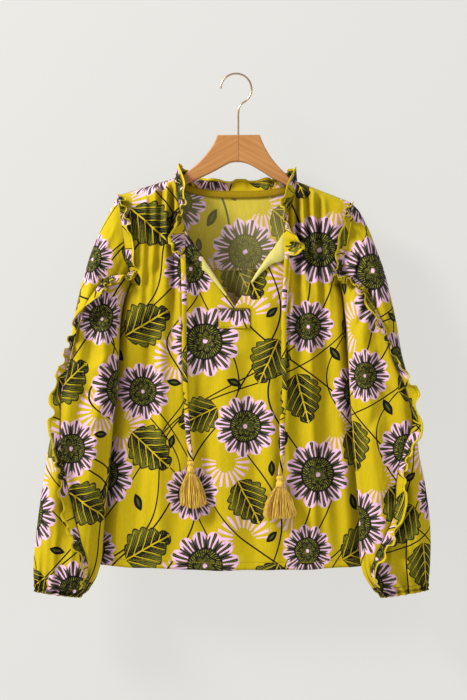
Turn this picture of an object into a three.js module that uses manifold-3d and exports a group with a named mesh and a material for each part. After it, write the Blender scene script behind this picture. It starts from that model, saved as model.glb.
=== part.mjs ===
// A long-sleeved blouse with a frilled neck, ruffled sleeves and tasselled ties, on a wooden hanger.
// Millimetres, +Z up. The front faces -Y, and "left" is the -X side, as seen from the front.
// The origin is inside the top of the hook, where a rail carries it.
import * as THREE from 'three';
import { mergeVertices } from 'three/addons/utils/BufferGeometryUtils.js';
import Module from 'manifold-3d';

const manifold = await Module();
manifold.setup();

// Driving dimensions
const clothWall = 1.2;
const seamGap = 0.3;
const armholeGap = 0.5;
const woodThickness = 12;
const wireDiameter = 3.2;
const hookRadius = 25;
const tieDiameter = 7;

// Shoulders: one roof line that the hanger's arms carry, a little lower on the right
const roofPeak = -136;
const roofSlope = 0.35;
const roofTilt = 0.04;
const ridgeHeight = 10;
const ridgeDepth = 12.5;
const chestDepth = 13;
const chestDrop = 130;

// Body: heights, side seams and hem
const underarmZ = -340;
const yokeSeamZ = -313;
const hemZ = { left: -790, middle: -799, right: -793 };
const shoulderX = { left: -189, right: 181 };
const underarmX = { left: -173, right: 163 };
const hemX = { left: -242, right: 216 };
const armholeDepth = 24;
const ringFullness = 0.85;

const yellow = { color: 0xcdb81c, roughness: 0.8, metalness: 0 };
const paleYellow = { color: 0xd8cf6a, roughness: 0.85, metalness: 0 };
const threadGold = { color: 0xd9b43a, roughness: 0.7, metalness: 0 };
const beech = { color: 0xc48a50, roughness: 0.45, metalness: 0 };
const goldWire = { color: 0xc2a57f, roughness: 0.3, metalness: 1 };

const lerp = THREE.MathUtils.lerp;
const smoothstep = THREE.MathUtils.smoothstep;
const clamp = THREE.MathUtils.clamp;

// Even steps from a to b, both ends included
function steps(a, b, count) {
  return Array.from({ length: count + 1 }, (_, i) => lerp(a, b, i / count));
}

// Smooth value of one column of a table, from 0 at its first row to 1 at its last
function column(rows, name) {
  const value = (i) => rows[clamp(i, 0, rows.length - 1)][name];
  return (t) => {
    const place = clamp(t, 0, 1) * (rows.length - 1);
    const i = Math.min(Math.floor(place), rows.length - 2);
    const f = place - i;
    const [a, b, c, d] = [value(i - 1), value(i), value(i + 1), value(i + 2)];
    return b + 0.5 * f * (c - a + f * (2 * a - 5 * b + 4 * c - d + f * (3 * (b - c) + d - a)));
  };
}

// A closed mesh from points and triangles, turned so that its faces point out
function solidFrom(points, triangles) {
  const positions = points.flatMap((p) => [p.x, p.y, p.z]);
  const [a, b, c] = [new THREE.Vector3(), new THREE.Vector3(), new THREE.Vector3()];
  let volume = 0;
  for (const [i, j, k] of triangles) {
    a.copy(points[i]);
    b.copy(points[j]);
    c.copy(points[k]);
    volume += a.dot(b.cross(c));
  }
  const outward = volume > 0 ? triangles : triangles.map(([i, j, k]) => [i, k, j]);
  const geometry = new THREE.BufferGeometry();
  geometry.setAttribute('position', new THREE.Float32BufferAttribute(positions, 3));
  geometry.setIndex(outward.flat());
  geometry.computeVertexNormals();
  return geometry;
}

// A cloth wall: a grid of points on a surface, and the same grid moved along the normals by the wall.
// The surface is at(u, v); inward is 1 or -1 and picks the side that the wall grows to.
function wall(at, us, vs, inward, closed = false, thickness = clothWall) {
  const nudge = 1e-3;
  const outer = [];
  const inner = [];
  for (const v of vs) {
    for (const u of us) {
      const u0 = closed ? u - nudge : Math.max(u - nudge, us[0]);
      const u1 = closed ? u + nudge : Math.min(u + nudge, us.at(-1));
      const [v0, v1] = [Math.max(v - nudge, vs[0]), Math.min(v + nudge, vs.at(-1))];
      const across = at(u1, v).sub(at(u0, v));
      const down = at(u, v1).sub(at(u, v0));
      const normal = across.cross(down).normalize().multiplyScalar(inward * thickness);
      const point = at(u, v);
      outer.push(point);
      inner.push(point.clone().add(normal));
    }
  }
  const columns = us.length;
  const cells = closed ? columns : columns - 1;
  const triangles = [];
  const quad = (a, b, c, d) => triangles.push([a, b, c], [a, c, d]);
  const outerAt = (i, j) => j * columns + (i % columns);
  const innerAt = (i, j) => outer.length + outerAt(i, j);
  for (let j = 0; j < vs.length - 1; j += 1) {
    for (let i = 0; i < cells; i += 1) {
      quad(outerAt(i, j), outerAt(i + 1, j), outerAt(i + 1, j + 1), outerAt(i, j + 1));
      quad(innerAt(i, j), innerAt(i, j + 1), innerAt(i + 1, j + 1), innerAt(i + 1, j));
    }
  }
  const last = vs.length - 1;
  for (let i = 0; i < cells; i += 1) {
    quad(outerAt(i, 0), innerAt(i, 0), innerAt(i + 1, 0), outerAt(i + 1, 0));
    quad(outerAt(i, last), outerAt(i + 1, last), innerAt(i + 1, last), innerAt(i, last));
  }
  if (!closed) {
    for (let j = 0; j < last; j += 1) {
      quad(outerAt(0, j), outerAt(0, j + 1), innerAt(0, j + 1), innerAt(0, j));
      quad(outerAt(cells, j), innerAt(cells, j), innerAt(cells, j + 1), outerAt(cells, j + 1));
    }
  }
  return solidFrom([...outer, ...inner], triangles);
}

// Booleans: to a manifold solid and back
function toSolid(geometry) {
  const bare = geometry.clone();
  bare.deleteAttribute('normal');
  bare.deleteAttribute('uv');
  const merged = mergeVertices(bare, 1e-4);
  return new manifold.Manifold(new manifold.Mesh({
    numProp: 3,
    vertProperties: new Float32Array(merged.attributes.position.array),
    triVerts: new Uint32Array(merged.index.array),
  }));
}

function fromSolid(solid) {
  const mesh = solid.getMesh();
  const geometry = new THREE.BufferGeometry();
  geometry.setAttribute('position', new THREE.BufferAttribute(mesh.vertProperties, 3));
  geometry.setIndex(new THREE.BufferAttribute(mesh.triVerts, 1));
  geometry.computeVertexNormals();
  return geometry;
}

// The height of the shoulder line at x, and of the hem
const roof = (x) => roofPeak - roofSlope * Math.abs(x) - roofTilt * x;

function hem(x) {
  const side = x < 0 ? hemZ.left : hemZ.right;
  const reach = x < 0 ? x / hemX.left : x / hemX.right;
  return lerp(hemZ.middle, side, reach * reach);
}

// The edge of the body at height z: the armhole above the underarm, the side seam below it
function sideX(side, z) {
  if (z > underarmZ) {
    const top = roof(shoulderX[side]);
    return lerp(underarmX[side], shoulderX[side], (z - underarmZ) / (top - underarmZ));
  }
  const drop = (underarmZ - z) / (underarmZ - hemZ[side]);
  const flare = drop ** 0.61 * smoothstep(drop, 0.04, 0.2);
  return lerp(underarmX[side], hemX[side], flare);
}

// How far the cloth stands from the middle plane at the armhole, for a point below the shoulder line
function armholeEdge(x, z) {
  const drop = clamp((roof(x) - z) / (roof(x) - underarmZ), 0, 1);
  return armholeDepth * (4 * drop * (1 - drop)) ** (ringFullness / 2);
}

// Depth of the cloth below the shoulder line
function bodyDepth(h) {
  const inRidge = 1 - clamp(h, 0, ridgeHeight) / ridgeHeight;
  const ridge = ridgeDepth * Math.sqrt(1 - inRidge * inRidge);
  return ridge + chestDepth * smoothstep(h, ridgeHeight, chestDrop);
}

// Soft folds, as ridges (depth over 0) and troughs (under 0); x at the top and at the hem
const frontFolds = [
  { top: -158, hem: -196, width: 13, depth: 3.5, from: -215, to: -830 },
  { top: -134, hem: -150, width: 9, depth: -4, from: -190, to: -620 },
  { top: -120, hem: -128, width: 9, depth: 6, from: -178, to: -830 },
  { top: -106, hem: -104, width: 6, depth: -4.5, from: -178, to: -470 },
  { top: -97, hem: -84, width: 6, depth: 5, from: -190, to: -560 },
  { top: -66, hem: -48, width: 12, depth: -3, from: -330, to: -830 },
  { top: -30, hem: -12, width: 14, depth: 4, from: -420, to: -830 },
  { top: 8, hem: 22, width: 13, depth: -4, from: -440, to: -830 },
  { top: 40, hem: 58, width: 12, depth: 3.5, from: -350, to: -830 },
  { top: 84, hem: 86, width: 6, depth: 5, from: -195, to: -600 },
  { top: 94, hem: 104, width: 6, depth: -4.5, from: -185, to: -500 },
  { top: 110, hem: 124, width: 8, depth: 6, from: -180, to: -830 },
  { top: 126, hem: 148, width: 9, depth: -4, from: -190, to: -640 },
  { top: 148, hem: 178, width: 13, depth: 3.5, from: -220, to: -830 },
];

const backFolds = [
  { top: -150, hem: -185, width: 14, depth: 3, from: -340, to: -830 },
  { top: -96, hem: -126, width: 14, depth: -3.5, from: -330, to: -830 },
  { top: -62, hem: -78, width: 11, depth: 4.5, from: -312, to: -830 },
  { top: -38, hem: -42, width: 9, depth: -4, from: -312, to: -760 },
  { top: -14, hem: -8, width: 10, depth: 4.5, from: -312, to: -830 },
  { top: 12, hem: 24, width: 9, depth: -4, from: -312, to: -720 },
  { top: 36, hem: 58, width: 10, depth: 4.5, from: -312, to: -830 },
  { top: 66, hem: 98, width: 13, depth: -3.5, from: -320, to: -830 },
  { top: 110, hem: 140, width: 14, depth: 3, from: -340, to: -830 },
];

function foldDepth(folds, x, z) {
  const fadeLength = 60;
  let depth = 0;
  for (const fold of folds) {
    const middle = lerp(fold.top, fold.hem, (z - roofPeak) / (hemZ.middle - roofPeak));
    const fadeIn = smoothstep(fold.from - z, 0, fadeLength);
    const fadeOut = smoothstep(z - fold.to, 0, 2 * fadeLength);
    depth += fold.depth * fadeIn * fadeOut * Math.exp(-(((x - middle) / fold.width) ** 2));
  }
  return depth;
}

// A point of the body cloth: facing is -1 at the front and 1 at the back, s runs -1 to 1 across
function bodyPoint(facing, folds, s, z) {
  const side = s < 0 ? 'left' : 'right';
  const gap = (z > underarmZ ? armholeGap : 0) / 2;
  const edge = Math.abs(sideX(side, z)) - gap;
  const x = edge * Math.sin((Math.PI / 2) * s);
  const across = Math.cos((Math.PI / 2) * s);
  const inArmhole = smoothstep(z, underarmZ - 10, underarmZ + 25);
  const profile = lerp(Math.max(across, 0) ** 0.75, across * across, inArmhole);
  const start = armholeEdge(x, z);
  const middle = bodyDepth(roof(x) - z);
  const foldShare = clamp((1 - Math.abs(s)) * 5, 0, 1);
  const depth = lerp(start, middle, profile) + foldShare * foldDepth(folds, x, z);
  return new THREE.Vector3(x, facing * (seamGap + Math.max(depth, 0)), z);
}

// Body panels run down from the shoulder line in two stretches, above and below the underarm.
// v is 0 at the shoulder line, 1 at the underarm and 2 at the hem.
function panelPoint(facing, folds, s, v) {
  const side = s < 0 ? 'left' : 'right';
  let x = Math.abs(underarmX[side]) * Math.sin((Math.PI / 2) * s);
  let z = underarmZ;
  for (let turn = 0; turn < 4; turn += 1) {
    z = v < 1 ? lerp(roof(x), underarmZ, v) : lerp(underarmZ, hem(x), v - 1);
    x = Math.abs(sideX(side, z)) * Math.sin((Math.PI / 2) * s);
  }
  return bodyPoint(facing, folds, s, z);
}

const ridgeRows = [0, 0.0035, 0.014, 0.035, 0.07, 0.14];
const frontColumns = steps(-1, 1, 32);

// The neck's cut on the front, from the left shoulder down the slit to its point and up again
const neckCut = [
  { x: -103, z: -90 }, { x: -103, z: -170 }, { x: -97, z: -190 }, { x: -91, z: -222 },
  { x: -88, z: -247 }, { x: -47, z: -310 }, { x: -5, z: -376 }, { x: 35, z: -312 },
  { x: 75, z: -254 }, { x: 79, z: -224 }, { x: 90, z: -190 }, { x: 96, z: -173 }, { x: 96, z: -90 },
];

function makeFront() {
  const rows = [...ridgeRows, ...steps(0.27, 1, 5), 1.05, ...steps(1.11, 2, 9)];
  const panel = wall((s, v) => panelPoint(-1, frontFolds, s, v), frontColumns, rows, 1);
  const outline = new THREE.Shape(neckCut.map((p) => new THREE.Vector2(p.x, p.z)));
  const cutter = new THREE.ExtrudeGeometry(outline, { depth: 120, bevelEnabled: false });
  cutter.rotateX(Math.PI / 2);
  return fromSolid(toSolid(panel).subtract(toSolid(cutter)));
}

// The back neck's edge, where the yoke, the band and the frill meet
const backNeckMiddleZ = -188;
const backNeckX = { left: -103, right: 96 };

function backNeck(x) {
  const reach = x < 0 ? x / backNeckX.left : x / backNeckX.right;
  const side = roof(x < 0 ? backNeckX.left : backNeckX.right);
  return lerp(backNeckMiddleZ, side, clamp(reach, 0, 1) ** 3);
}

function yokePoint(s, v) {
  const side = s < 0 ? 'left' : 'right';
  let x = Math.abs(shoulderX[side]) * Math.sin((Math.PI / 2) * s);
  let z = yokeSeamZ;
  for (let turn = 0; turn < 4; turn += 1) {
    const inNeck = x > backNeckX.left && x < backNeckX.right;
    const top = inNeck ? Math.min(backNeck(x), roof(x)) : roof(x);
    z = lerp(top, yokeSeamZ + seamGap / 2, v);
    x = Math.abs(sideX(side, z)) * Math.sin((Math.PI / 2) * s);
  }
  return bodyPoint(1, [], s, z);
}

function makeYoke() {
  const rows = [0, 0.004, 0.016, 0.04, 0.08, 0.2, 0.45, 0.7, 1];
  return wall(yokePoint, steps(-1, 1, 26), rows, -1);
}

function backPoint(s, v) {
  const side = s < 0 ? 'left' : 'right';
  let x = Math.abs(underarmX[side]) * Math.sin((Math.PI / 2) * s);
  let z = underarmZ;
  for (let turn = 0; turn < 4; turn += 1) {
    z = v < 1 ? lerp(yokeSeamZ - seamGap / 2, underarmZ, v) : lerp(underarmZ, hem(x), v - 1);
    x = Math.abs(sideX(side, z)) * Math.sin((Math.PI / 2) * s);
  }
  return bodyPoint(1, backFolds, s, z);
}

function makeBack() {
  const rows = [0, 0.5, 1, 1.05, ...steps(1.11, 2, 9)];
  return wall(backPoint, steps(-1, 1, 30), rows, -1);
}

// Plain strip inside the back neck, over the seam of the frill
const bandHeight = 11;

function makeNeckBand() {
  const inset = clothWall + seamGap;
  const at = (x, v) => {
    const z = backNeck(x) - v * bandHeight;
    const across = x < 0 ? x / sideX('left', z) : x / sideX('right', z);
    const s = Math.sign(x) * (2 / Math.PI) * Math.asin(clamp(Math.abs(across), 0, 1));
    return bodyPoint(1, [], s, z).sub(new THREE.Vector3(0, inset, 0));
  };
  return wall(at, steps(-78, 71, 14), [0, 1], -1);
}

// A point that lies on the front panel at x and z, moved out by lift
function onFront(x, z, lift) {
  const side = x < 0 ? 'left' : 'right';
  const gap = (z > underarmZ ? armholeGap : 0) / 2;
  const reach = clamp(Math.abs(x) / (Math.abs(sideX(side, z)) - gap), 0, 1);
  const s = Math.sign(x) * (2 / Math.PI) * Math.asin(reach);
  return bodyPoint(-1, frontFolds, s, z).sub(new THREE.Vector3(0, lift, 0));
}

// Turned-back edges of the slit: from the fold on the slit to the turned edge on the panel
const turnbackLift = { left: clothWall + 1, right: clothWall + 2 };
const turnbacks = {
  left: [
    { foldX: -88, foldZ: -249, edgeX: -91, edgeZ: -256 },
    { foldX: -76, foldZ: -267, edgeX: -87, edgeZ: -289 },
    { foldX: -61, foldZ: -290, edgeX: -68, edgeZ: -311 },
    { foldX: -47, foldZ: -311, edgeX: -52, edgeZ: -321 },
    { foldX: -32, foldZ: -334, edgeX: -38, edgeZ: -337 },
    { foldX: -17, foldZ: -358, edgeX: -20, edgeZ: -359 },
  ],
  right: [
    { foldX: 75, foldZ: -256, edgeX: 77, edgeZ: -262 },
    { foldX: 62, foldZ: -275, edgeX: 76, edgeZ: -299 },
    { foldX: 49, foldZ: -293, edgeX: 55, edgeZ: -308 },
    { foldX: 35, foldZ: -313, edgeX: 39, edgeZ: -321 },
    { foldX: 21, foldZ: -335, edgeX: 23, edgeZ: -338 },
  ],
};

function makeTurnback(side) {
  const rows = turnbacks[side];
  const [foldX, foldZ] = [column(rows, 'foldX'), column(rows, 'foldZ')];
  const [edgeX, edgeZ] = [column(rows, 'edgeX'), column(rows, 'edgeZ')];
  const at = (u, v) => {
    const puff = 2.5 * Math.sin(Math.PI * v) * Math.sin(Math.PI * u);
    return onFront(lerp(foldX(u), edgeX(u), v), lerp(foldZ(u), edgeZ(u), v), turnbackLift[side] + puff);
  };
  return wall(at, steps(0, 1, 12), steps(0, 1, 3), side === 'left' ? 1 : -1);
}

// Stitched box below the slit
const placket = { left: -31, right: 19, top: -379, bottom: -411 };

function makePlacket() {
  const at = (u, v) => {
    const [x, z] = [lerp(placket.left, placket.right, u), lerp(placket.top, placket.bottom, v)];
    return onFront(x, z, clothWall + 2 * seamGap);
  };
  return wall(at, steps(0, 1, 8), steps(0, 1, 4), 1);
}

// Sleeve sections. Inner is the edge by the body and outer the far edge, seen from the front;
// y is the section's middle, depth half its thickness, and seam the ruffle seam's share of
// the way from the outer edge to the inner one.
const leftSleeve = [
  { innerX: -174.5, innerZ: -337, outerX: -189, outerZ: -194.6, y: 0, depth: 24, seam: 0.86 },
  { innerX: -175, innerZ: -343, outerX: -201, outerZ: -209, y: -1, depth: 25, seam: 0.85 },
  { innerX: -177, innerZ: -349, outerX: -213, outerZ: -234, y: -3, depth: 26, seam: 0.8 },
  { innerX: -180, innerZ: -358, outerX: -224, outerZ: -258, y: -7, depth: 27, seam: 0.68 },
  { innerX: -184, innerZ: -372, outerX: -236, outerZ: -288, y: -12, depth: 27, seam: 0.52 },
  { innerX: -187, innerZ: -390, outerX: -246, outerZ: -322, y: -18, depth: 26, seam: 0.36 },
  { innerX: -189, innerZ: -412, outerX: -256, outerZ: -362, y: -24, depth: 25, seam: 0.22 },
  { innerX: -190, innerZ: -440, outerX: -264, outerZ: -405, y: -28, depth: 24, seam: 0.13 },
  { innerX: -191, innerZ: -474, outerX: -271, outerZ: -452, y: -30, depth: 23, seam: 0.07 },
  { innerX: -193, innerZ: -516, outerX: -284, outerZ: -508, y: -31, depth: 23, seam: 0.05 },
  { innerX: -199, innerZ: -562, outerX: -294, outerZ: -560, y: -31, depth: 23, seam: 0.13 },
  { innerX: -203, innerZ: -608, outerX: -304, outerZ: -608, y: -31, depth: 22, seam: 0.24 },
  { innerX: -207, innerZ: -654, outerX: -311, outerZ: -655, y: -31, depth: 22, seam: 0.36 },
  { innerX: -212, innerZ: -702, outerX: -318, outerZ: -701, y: -31, depth: 21, seam: 0.5 },
  { innerX: -215, innerZ: -742, outerX: -323, outerZ: -743, y: -31, depth: 21, seam: 0.6 },
  { innerX: -218, innerZ: -779, outerX: -326.5, outerZ: -778, y: -31, depth: 20, seam: 0.66 },
  { innerX: -226, innerZ: -808, outerX: -327, outerZ: -804, y: -31, depth: 18, seam: 0.7 },
  { innerX: -238, innerZ: -828, outerX: -326, outerZ: -819, y: -31, depth: 14, seam: 0.72 },
];

const rightSleeve = [
  { innerX: 164.5, innerZ: -337, outerX: 181, outerZ: -206.6, y: 0, depth: 24, seam: 0.86 },
  { innerX: 165, innerZ: -343, outerX: 194, outerZ: -219, y: -1, depth: 25, seam: 0.85 },
  { innerX: 166, innerZ: -349, outerX: 204, outerZ: -236, y: -3, depth: 26, seam: 0.8 },
  { innerX: 168, innerZ: -358, outerX: 213, outerZ: -256, y: -7, depth: 27, seam: 0.7 },
  { innerX: 170, innerZ: -372, outerX: 223, outerZ: -284, y: -12, depth: 27, seam: 0.58 },
  { innerX: 172, innerZ: -390, outerX: 234, outerZ: -316, y: -18, depth: 26, seam: 0.46 },
  { innerX: 174, innerZ: -414, outerX: 245, outerZ: -361, y: -24, depth: 25, seam: 0.35 },
  { innerX: 175, innerZ: -442, outerX: 254, outerZ: -404, y: -28, depth: 24, seam: 0.26 },
  { innerX: 177, innerZ: -474, outerX: 262, outerZ: -453, y: -30, depth: 23, seam: 0.2 },
  { innerX: 179, innerZ: -513, outerX: 276, outerZ: -505, y: -31, depth: 23, seam: 0.11 },
  { innerX: 182, innerZ: -559, outerX: 285, outerZ: -558, y: -31, depth: 23, seam: 0.08 },
  { innerX: 185, innerZ: -606, outerX: 289, outerZ: -608, y: -31, depth: 22, seam: 0.27 },
  { innerX: 189, innerZ: -655, outerX: 298, outerZ: -654, y: -31, depth: 22, seam: 0.42 },
  { innerX: 193, innerZ: -702, outerX: 305, outerZ: -702, y: -31, depth: 21, seam: 0.45 },
  { innerX: 194, innerZ: -742, outerX: 308, outerZ: -743, y: -31, depth: 21, seam: 0.62 },
  { innerX: 195, innerZ: -778, outerX: 307.5, outerZ: -779, y: -31, depth: 20, seam: 0.76 },
  { innerX: 201, innerZ: -805, outerX: 306, outerZ: -804, y: -31, depth: 18, seam: 0.78 },
  { innerX: 214, innerZ: -826, outerX: 304.5, outerZ: -818, y: -31, depth: 14, seam: 0.78 },
];

// Long sleeve folds: angle round the section, in degrees from the outer edge over the front
const sleeveFolds = [
  { angle: 52, width: 16, depth: 3, from: 0.12, to: 0.95 },
  { angle: 84, width: 14, depth: -3, from: 0.2, to: 0.9 },
  { angle: 118, width: 15, depth: 3.2, from: 0.3, to: 1 },
  { angle: 146, width: 13, depth: -2.4, from: 0.38, to: 0.92 },
  { angle: 238, width: 16, depth: -2.6, from: 0.35, to: 0.95 },
  { angle: 272, width: 16, depth: 3, from: 0.18, to: 1 },
  { angle: 312, width: 15, depth: -2.6, from: 0.2, to: 0.9 },
];

function sleeveTube(rows) {
  const names = ['innerX', 'innerZ', 'outerX', 'outerZ', 'y', 'depth', 'seam'];
  const table = Object.fromEntries(names.map((name) => [name, column(rows, name)]));
  const foldFade = 0.12;
  const point = (angle, v) => {
    const [c, s] = [Math.cos(angle), Math.sin(angle)];
    const degrees = THREE.MathUtils.radToDeg(angle) % 360;
    let swell = 0;
    for (const fold of sleeveFolds) {
      const shown = smoothstep(v, fold.from, fold.from + foldFade) * smoothstep(fold.to - v, 0, foldFade);
      swell += fold.depth * shown * Math.exp(-(((degrees - fold.angle) / fold.width) ** 2));
    }
    const [innerX, innerZ] = [table.innerX(v), table.innerZ(v)];
    const [outerX, outerZ] = [table.outerX(v), table.outerZ(v)];
    const share = (1 + c) / 2;
    const round = Math.sign(s) * Math.abs(s) ** ringFullness;
    const x = lerp(innerX, outerX, share);
    const z = lerp(innerZ, outerZ, share);
    return new THREE.Vector3(x, table.y(v) - round * (table.depth(v) + swell), z);
  };
  const seamAngle = (v) => Math.acos(1 - 2 * table.seam(v));
  return { point, seamAngle, table };
}

const sleeves = { left: sleeveTube(leftSleeve), right: sleeveTube(rightSleeve) };
const underarmSeam = THREE.MathUtils.degToRad(205);
const seamInset = 0.006;
const sleeveStart = 0.0012;
const sleeveRows = steps(sleeveStart, 1, 17);

// The outer panel wraps the far edge and the back; the inner one lies between the two seams
function makeSleevePanel(side, panel) {
  const tube = sleeves[side];
  const at = (u, v) => {
    const ruffleSeam = tube.seamAngle(v);
    const [from, to] = panel === 'inner'
      ? [ruffleSeam + seamInset, underarmSeam - seamInset]
      : [underarmSeam + seamInset, 2 * Math.PI + ruffleSeam - seamInset];
    const point = tube.point(lerp(from, to, u), v);
    point.x += (side === 'left' ? -1 : 1) * (armholeGap / 2) * (1 - smoothstep(v, 0, 0.1));
    return point;
  };
  const columns = steps(0, 1, panel === 'inner' ? 8 : 15);
  return wall(at, columns, sleeveRows, side === 'left' ? -1 : 1);
}

// Elasticated cuff with its small gathers, drawn in below the sleeve's last section
const cuffs = {
  left: { innerX: -252, innerZ: -840.5, outerX: -325, outerZ: -831, depth: 11 },
  right: { innerX: 229, innerZ: -841, outerX: 304, outerZ: -828.5, depth: 11 },
};
const cuffGathers = 15;
const gatherDepth = 1.6;

function makeCuff(side) {
  const rows = side === 'left' ? leftSleeve : rightSleeve;
  const top = rows.at(-1);
  const end = cuffs[side];
  const at = (u, v) => {
    const angle = 2 * Math.PI * u;
    const draw = smoothstep(v, 0, 0.7) * (1 - 0.35 * smoothstep(v, 0.8, 1));
    const wave = gatherDepth * Math.sin(cuffGathers * angle) * smoothstep(v, 0.1, 0.6);
    const share = (1 + Math.cos(angle)) / 2;
    const flare = 3 * smoothstep(v, 0.8, 1);
    const reach = (share - 0.5) * (1 + (wave + flare) / 40);
    const innerX = lerp(top.innerX, end.innerX, v);
    const outerX = lerp(top.outerX, end.outerX, v);
    const innerZ = lerp(top.innerZ, end.innerZ, v);
    const outerZ = lerp(top.outerZ, end.outerZ, v);
    const round = Math.sign(Math.sin(angle)) * Math.abs(Math.sin(angle)) ** ringFullness;
    const depth = lerp(top.depth, end.depth, draw) + wave;
    const x = (innerX + outerX) / 2 + (outerX - innerX) * reach;
    const z = (innerZ + outerZ) / 2 + (outerZ - innerZ) * reach - seamGap - 0.2;
    return new THREE.Vector3(x, top.y - round * depth, z);
  };
  const columns = steps(0, 1, 4 * cuffGathers).slice(0, -1);
  return wall(at, columns, [0, 0.6, 1], side === 'left' ? -1 : 1, true);
}

// Sleeve ruffle: it leaves the shoulder, follows the front of the armhole, then the panel seam.
// lean turns it from the sleeve's normal, over 0 towards the far edge; height is its width.
const ruffleLean = [
  { lean: -5, height: 15 },
  { lean: -30, height: 14 },
  { lean: -8, height: 13 },
  { lean: -35, height: 14 },
  { lean: -48, height: 15 },
  { lean: -20, height: 14 },
  { lean: 30, height: 13 },
  { lean: 44, height: 15 },
  { lean: 46, height: 15 },
  { lean: 46, height: 14 },
];
const ruffleWaves = 19;
const ruffleWaveDepth = 3.4;
const armholeShare = 0.22;

function makeRuffle(side) {
  const tube = sleeves[side];
  const [lean, height] = [column(ruffleLean, 'lean'), column(ruffleLean, 'height')];
  const inward = side === 'left' ? 1 : -1;
  const place = (t) => {
    if (t < armholeShare) {
      return { angle: lerp(0.16, tube.seamAngle(sleeveStart), t / armholeShare), v: 0.02 };
    }
    const v = lerp(0.02, 0.985, (t - armholeShare) / (1 - armholeShare));
    return { angle: tube.seamAngle(v), v };
  };
  const base = (t) => {
    const { angle, v } = place(clamp(t, 0, 1));
    return tube.point(angle, v);
  };
  const nudge = 1e-3;
  const frame = (t) => {
    const { angle, v } = place(t);
    const round = tube.point(angle + nudge, v).sub(tube.point(angle - nudge, v));
    const along = tube.point(angle, v + nudge).sub(tube.point(angle, v - nudge));
    const normal = round.cross(along).normalize().multiplyScalar(-inward);
    const path = base(t + nudge * 5).sub(base(t - nudge * 5)).normalize();
    const across = path.clone().cross(normal).normalize().multiplyScalar(inward);
    return { normal, across };
  };
  const baseLift = 2.8;
  const at = (t, h) => {
    const { normal, across } = frame(t);
    const turn = THREE.MathUtils.degToRad(lean(t));
    const wave = ruffleWaveDepth * h * Math.sin(2 * Math.PI * ruffleWaves * t);
    const rise = baseLift + Math.cos(turn) * height(t) * h + Math.abs(Math.sin(turn)) * (wave + 1.6 * h);
    const shift = Math.sin(turn) * height(t) * h + Math.cos(turn) * wave;
    return base(t).addScaledVector(normal, rise).addScaledVector(across, shift);
  };
  return wall(at, steps(0, 1, ruffleWaves * 4), [0, 1], 1, false, 1);
}

// Neck frill: where it is sewn on, and where its free edge stands
const frillRows = [
  { x: -86, y: -33, z: -292, edgeX: -95, edgeY: -42, edgeZ: -293 },
  { x: -87, y: -32, z: -272, edgeX: -105, edgeY: -42, edgeZ: -281 },
  { x: -88, y: -31, z: -256, edgeX: -107, edgeY: -41, edgeZ: -260 },
  { x: -89, y: -28, z: -240, edgeX: -98, edgeY: -44, edgeZ: -246 },
  { x: -92, y: -25, z: -222, edgeX: -91, edgeY: -44, edgeZ: -225 },
  { x: -95, y: -22, z: -205, edgeX: -86, edgeY: -37, edgeZ: -206 },
  { x: -98, y: -17, z: -188, edgeX: -84, edgeY: -26, edgeZ: -180 },
  { x: -102, y: -6, z: -168, edgeX: -94, edgeY: -8, edgeZ: -145 },
  { x: -99, y: 10, z: -167, edgeX: -93, edgeY: 16, edgeZ: -149 },
  { x: -76, y: 16, z: -178, edgeX: -74, edgeY: 23, edgeZ: -161 },
  { x: -40, y: 17, z: -186, edgeX: -40, edgeY: 25, edgeZ: -169 },
  { x: 0, y: 17, z: -187, edgeX: 0, edgeY: 26, edgeZ: -170 },
  { x: 40, y: 17, z: -186, edgeX: 40, edgeY: 25, edgeZ: -169 },
  { x: 70, y: 16, z: -180, edgeX: 68, edgeY: 23, edgeZ: -163 },
  { x: 91, y: 10, z: -171, edgeX: 87, edgeY: 16, edgeZ: -154 },
  { x: 95, y: -9, z: -170, edgeX: 87, edgeY: -8, edgeZ: -152 },
  { x: 90, y: -21, z: -190, edgeX: 73, edgeY: -26, edgeZ: -188 },
  { x: 86, y: -22, z: -207, edgeX: 72, edgeY: -36, edgeZ: -213 },
  { x: 80, y: -26, z: -226, edgeX: 74, edgeY: -44, edgeZ: -234 },
  { x: 77, y: -29, z: -244, edgeX: 80, edgeY: -47, edgeZ: -252 },
  { x: 76, y: -31, z: -262, edgeX: 94, edgeY: -43, edgeZ: -268 },
  { x: 76, y: -33, z: -280, edgeX: 102, edgeY: -42, edgeZ: -285 },
  { x: 76, y: -34, z: -294, edgeX: 86, edgeY: -43, edgeZ: -295 },
];
const frillWaves = 17;
const frillWaveDepth = 1.7;

function makeCollarFrill() {
  const names = ['x', 'y', 'z', 'edgeX', 'edgeY', 'edgeZ'];
  const table = Object.fromEntries(names.map((name) => [name, column(frillRows, name)]));
  const at = (t, h) => {
    const foot = new THREE.Vector3(table.x(t), table.y(t), table.z(t));
    const edge = new THREE.Vector3(table.edgeX(t), table.edgeY(t), table.edgeZ(t));
    const nudge = 0.004;
    const along = new THREE.Vector3(
      table.x(t + nudge) - table.x(t - nudge),
      table.y(t + nudge) - table.y(t - nudge),
      table.z(t + nudge) - table.z(t - nudge),
    );
    const sway = along.cross(edge.clone().sub(foot)).normalize();
    const wave = frillWaveDepth * h * Math.sin(2 * Math.PI * frillWaves * t);
    return foot.lerp(edge, h).addScaledVector(sway, wave);
  };
  return wall(at, steps(0, 1, frillWaves * 4), [0, 1], 1, false, 1);
}

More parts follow.
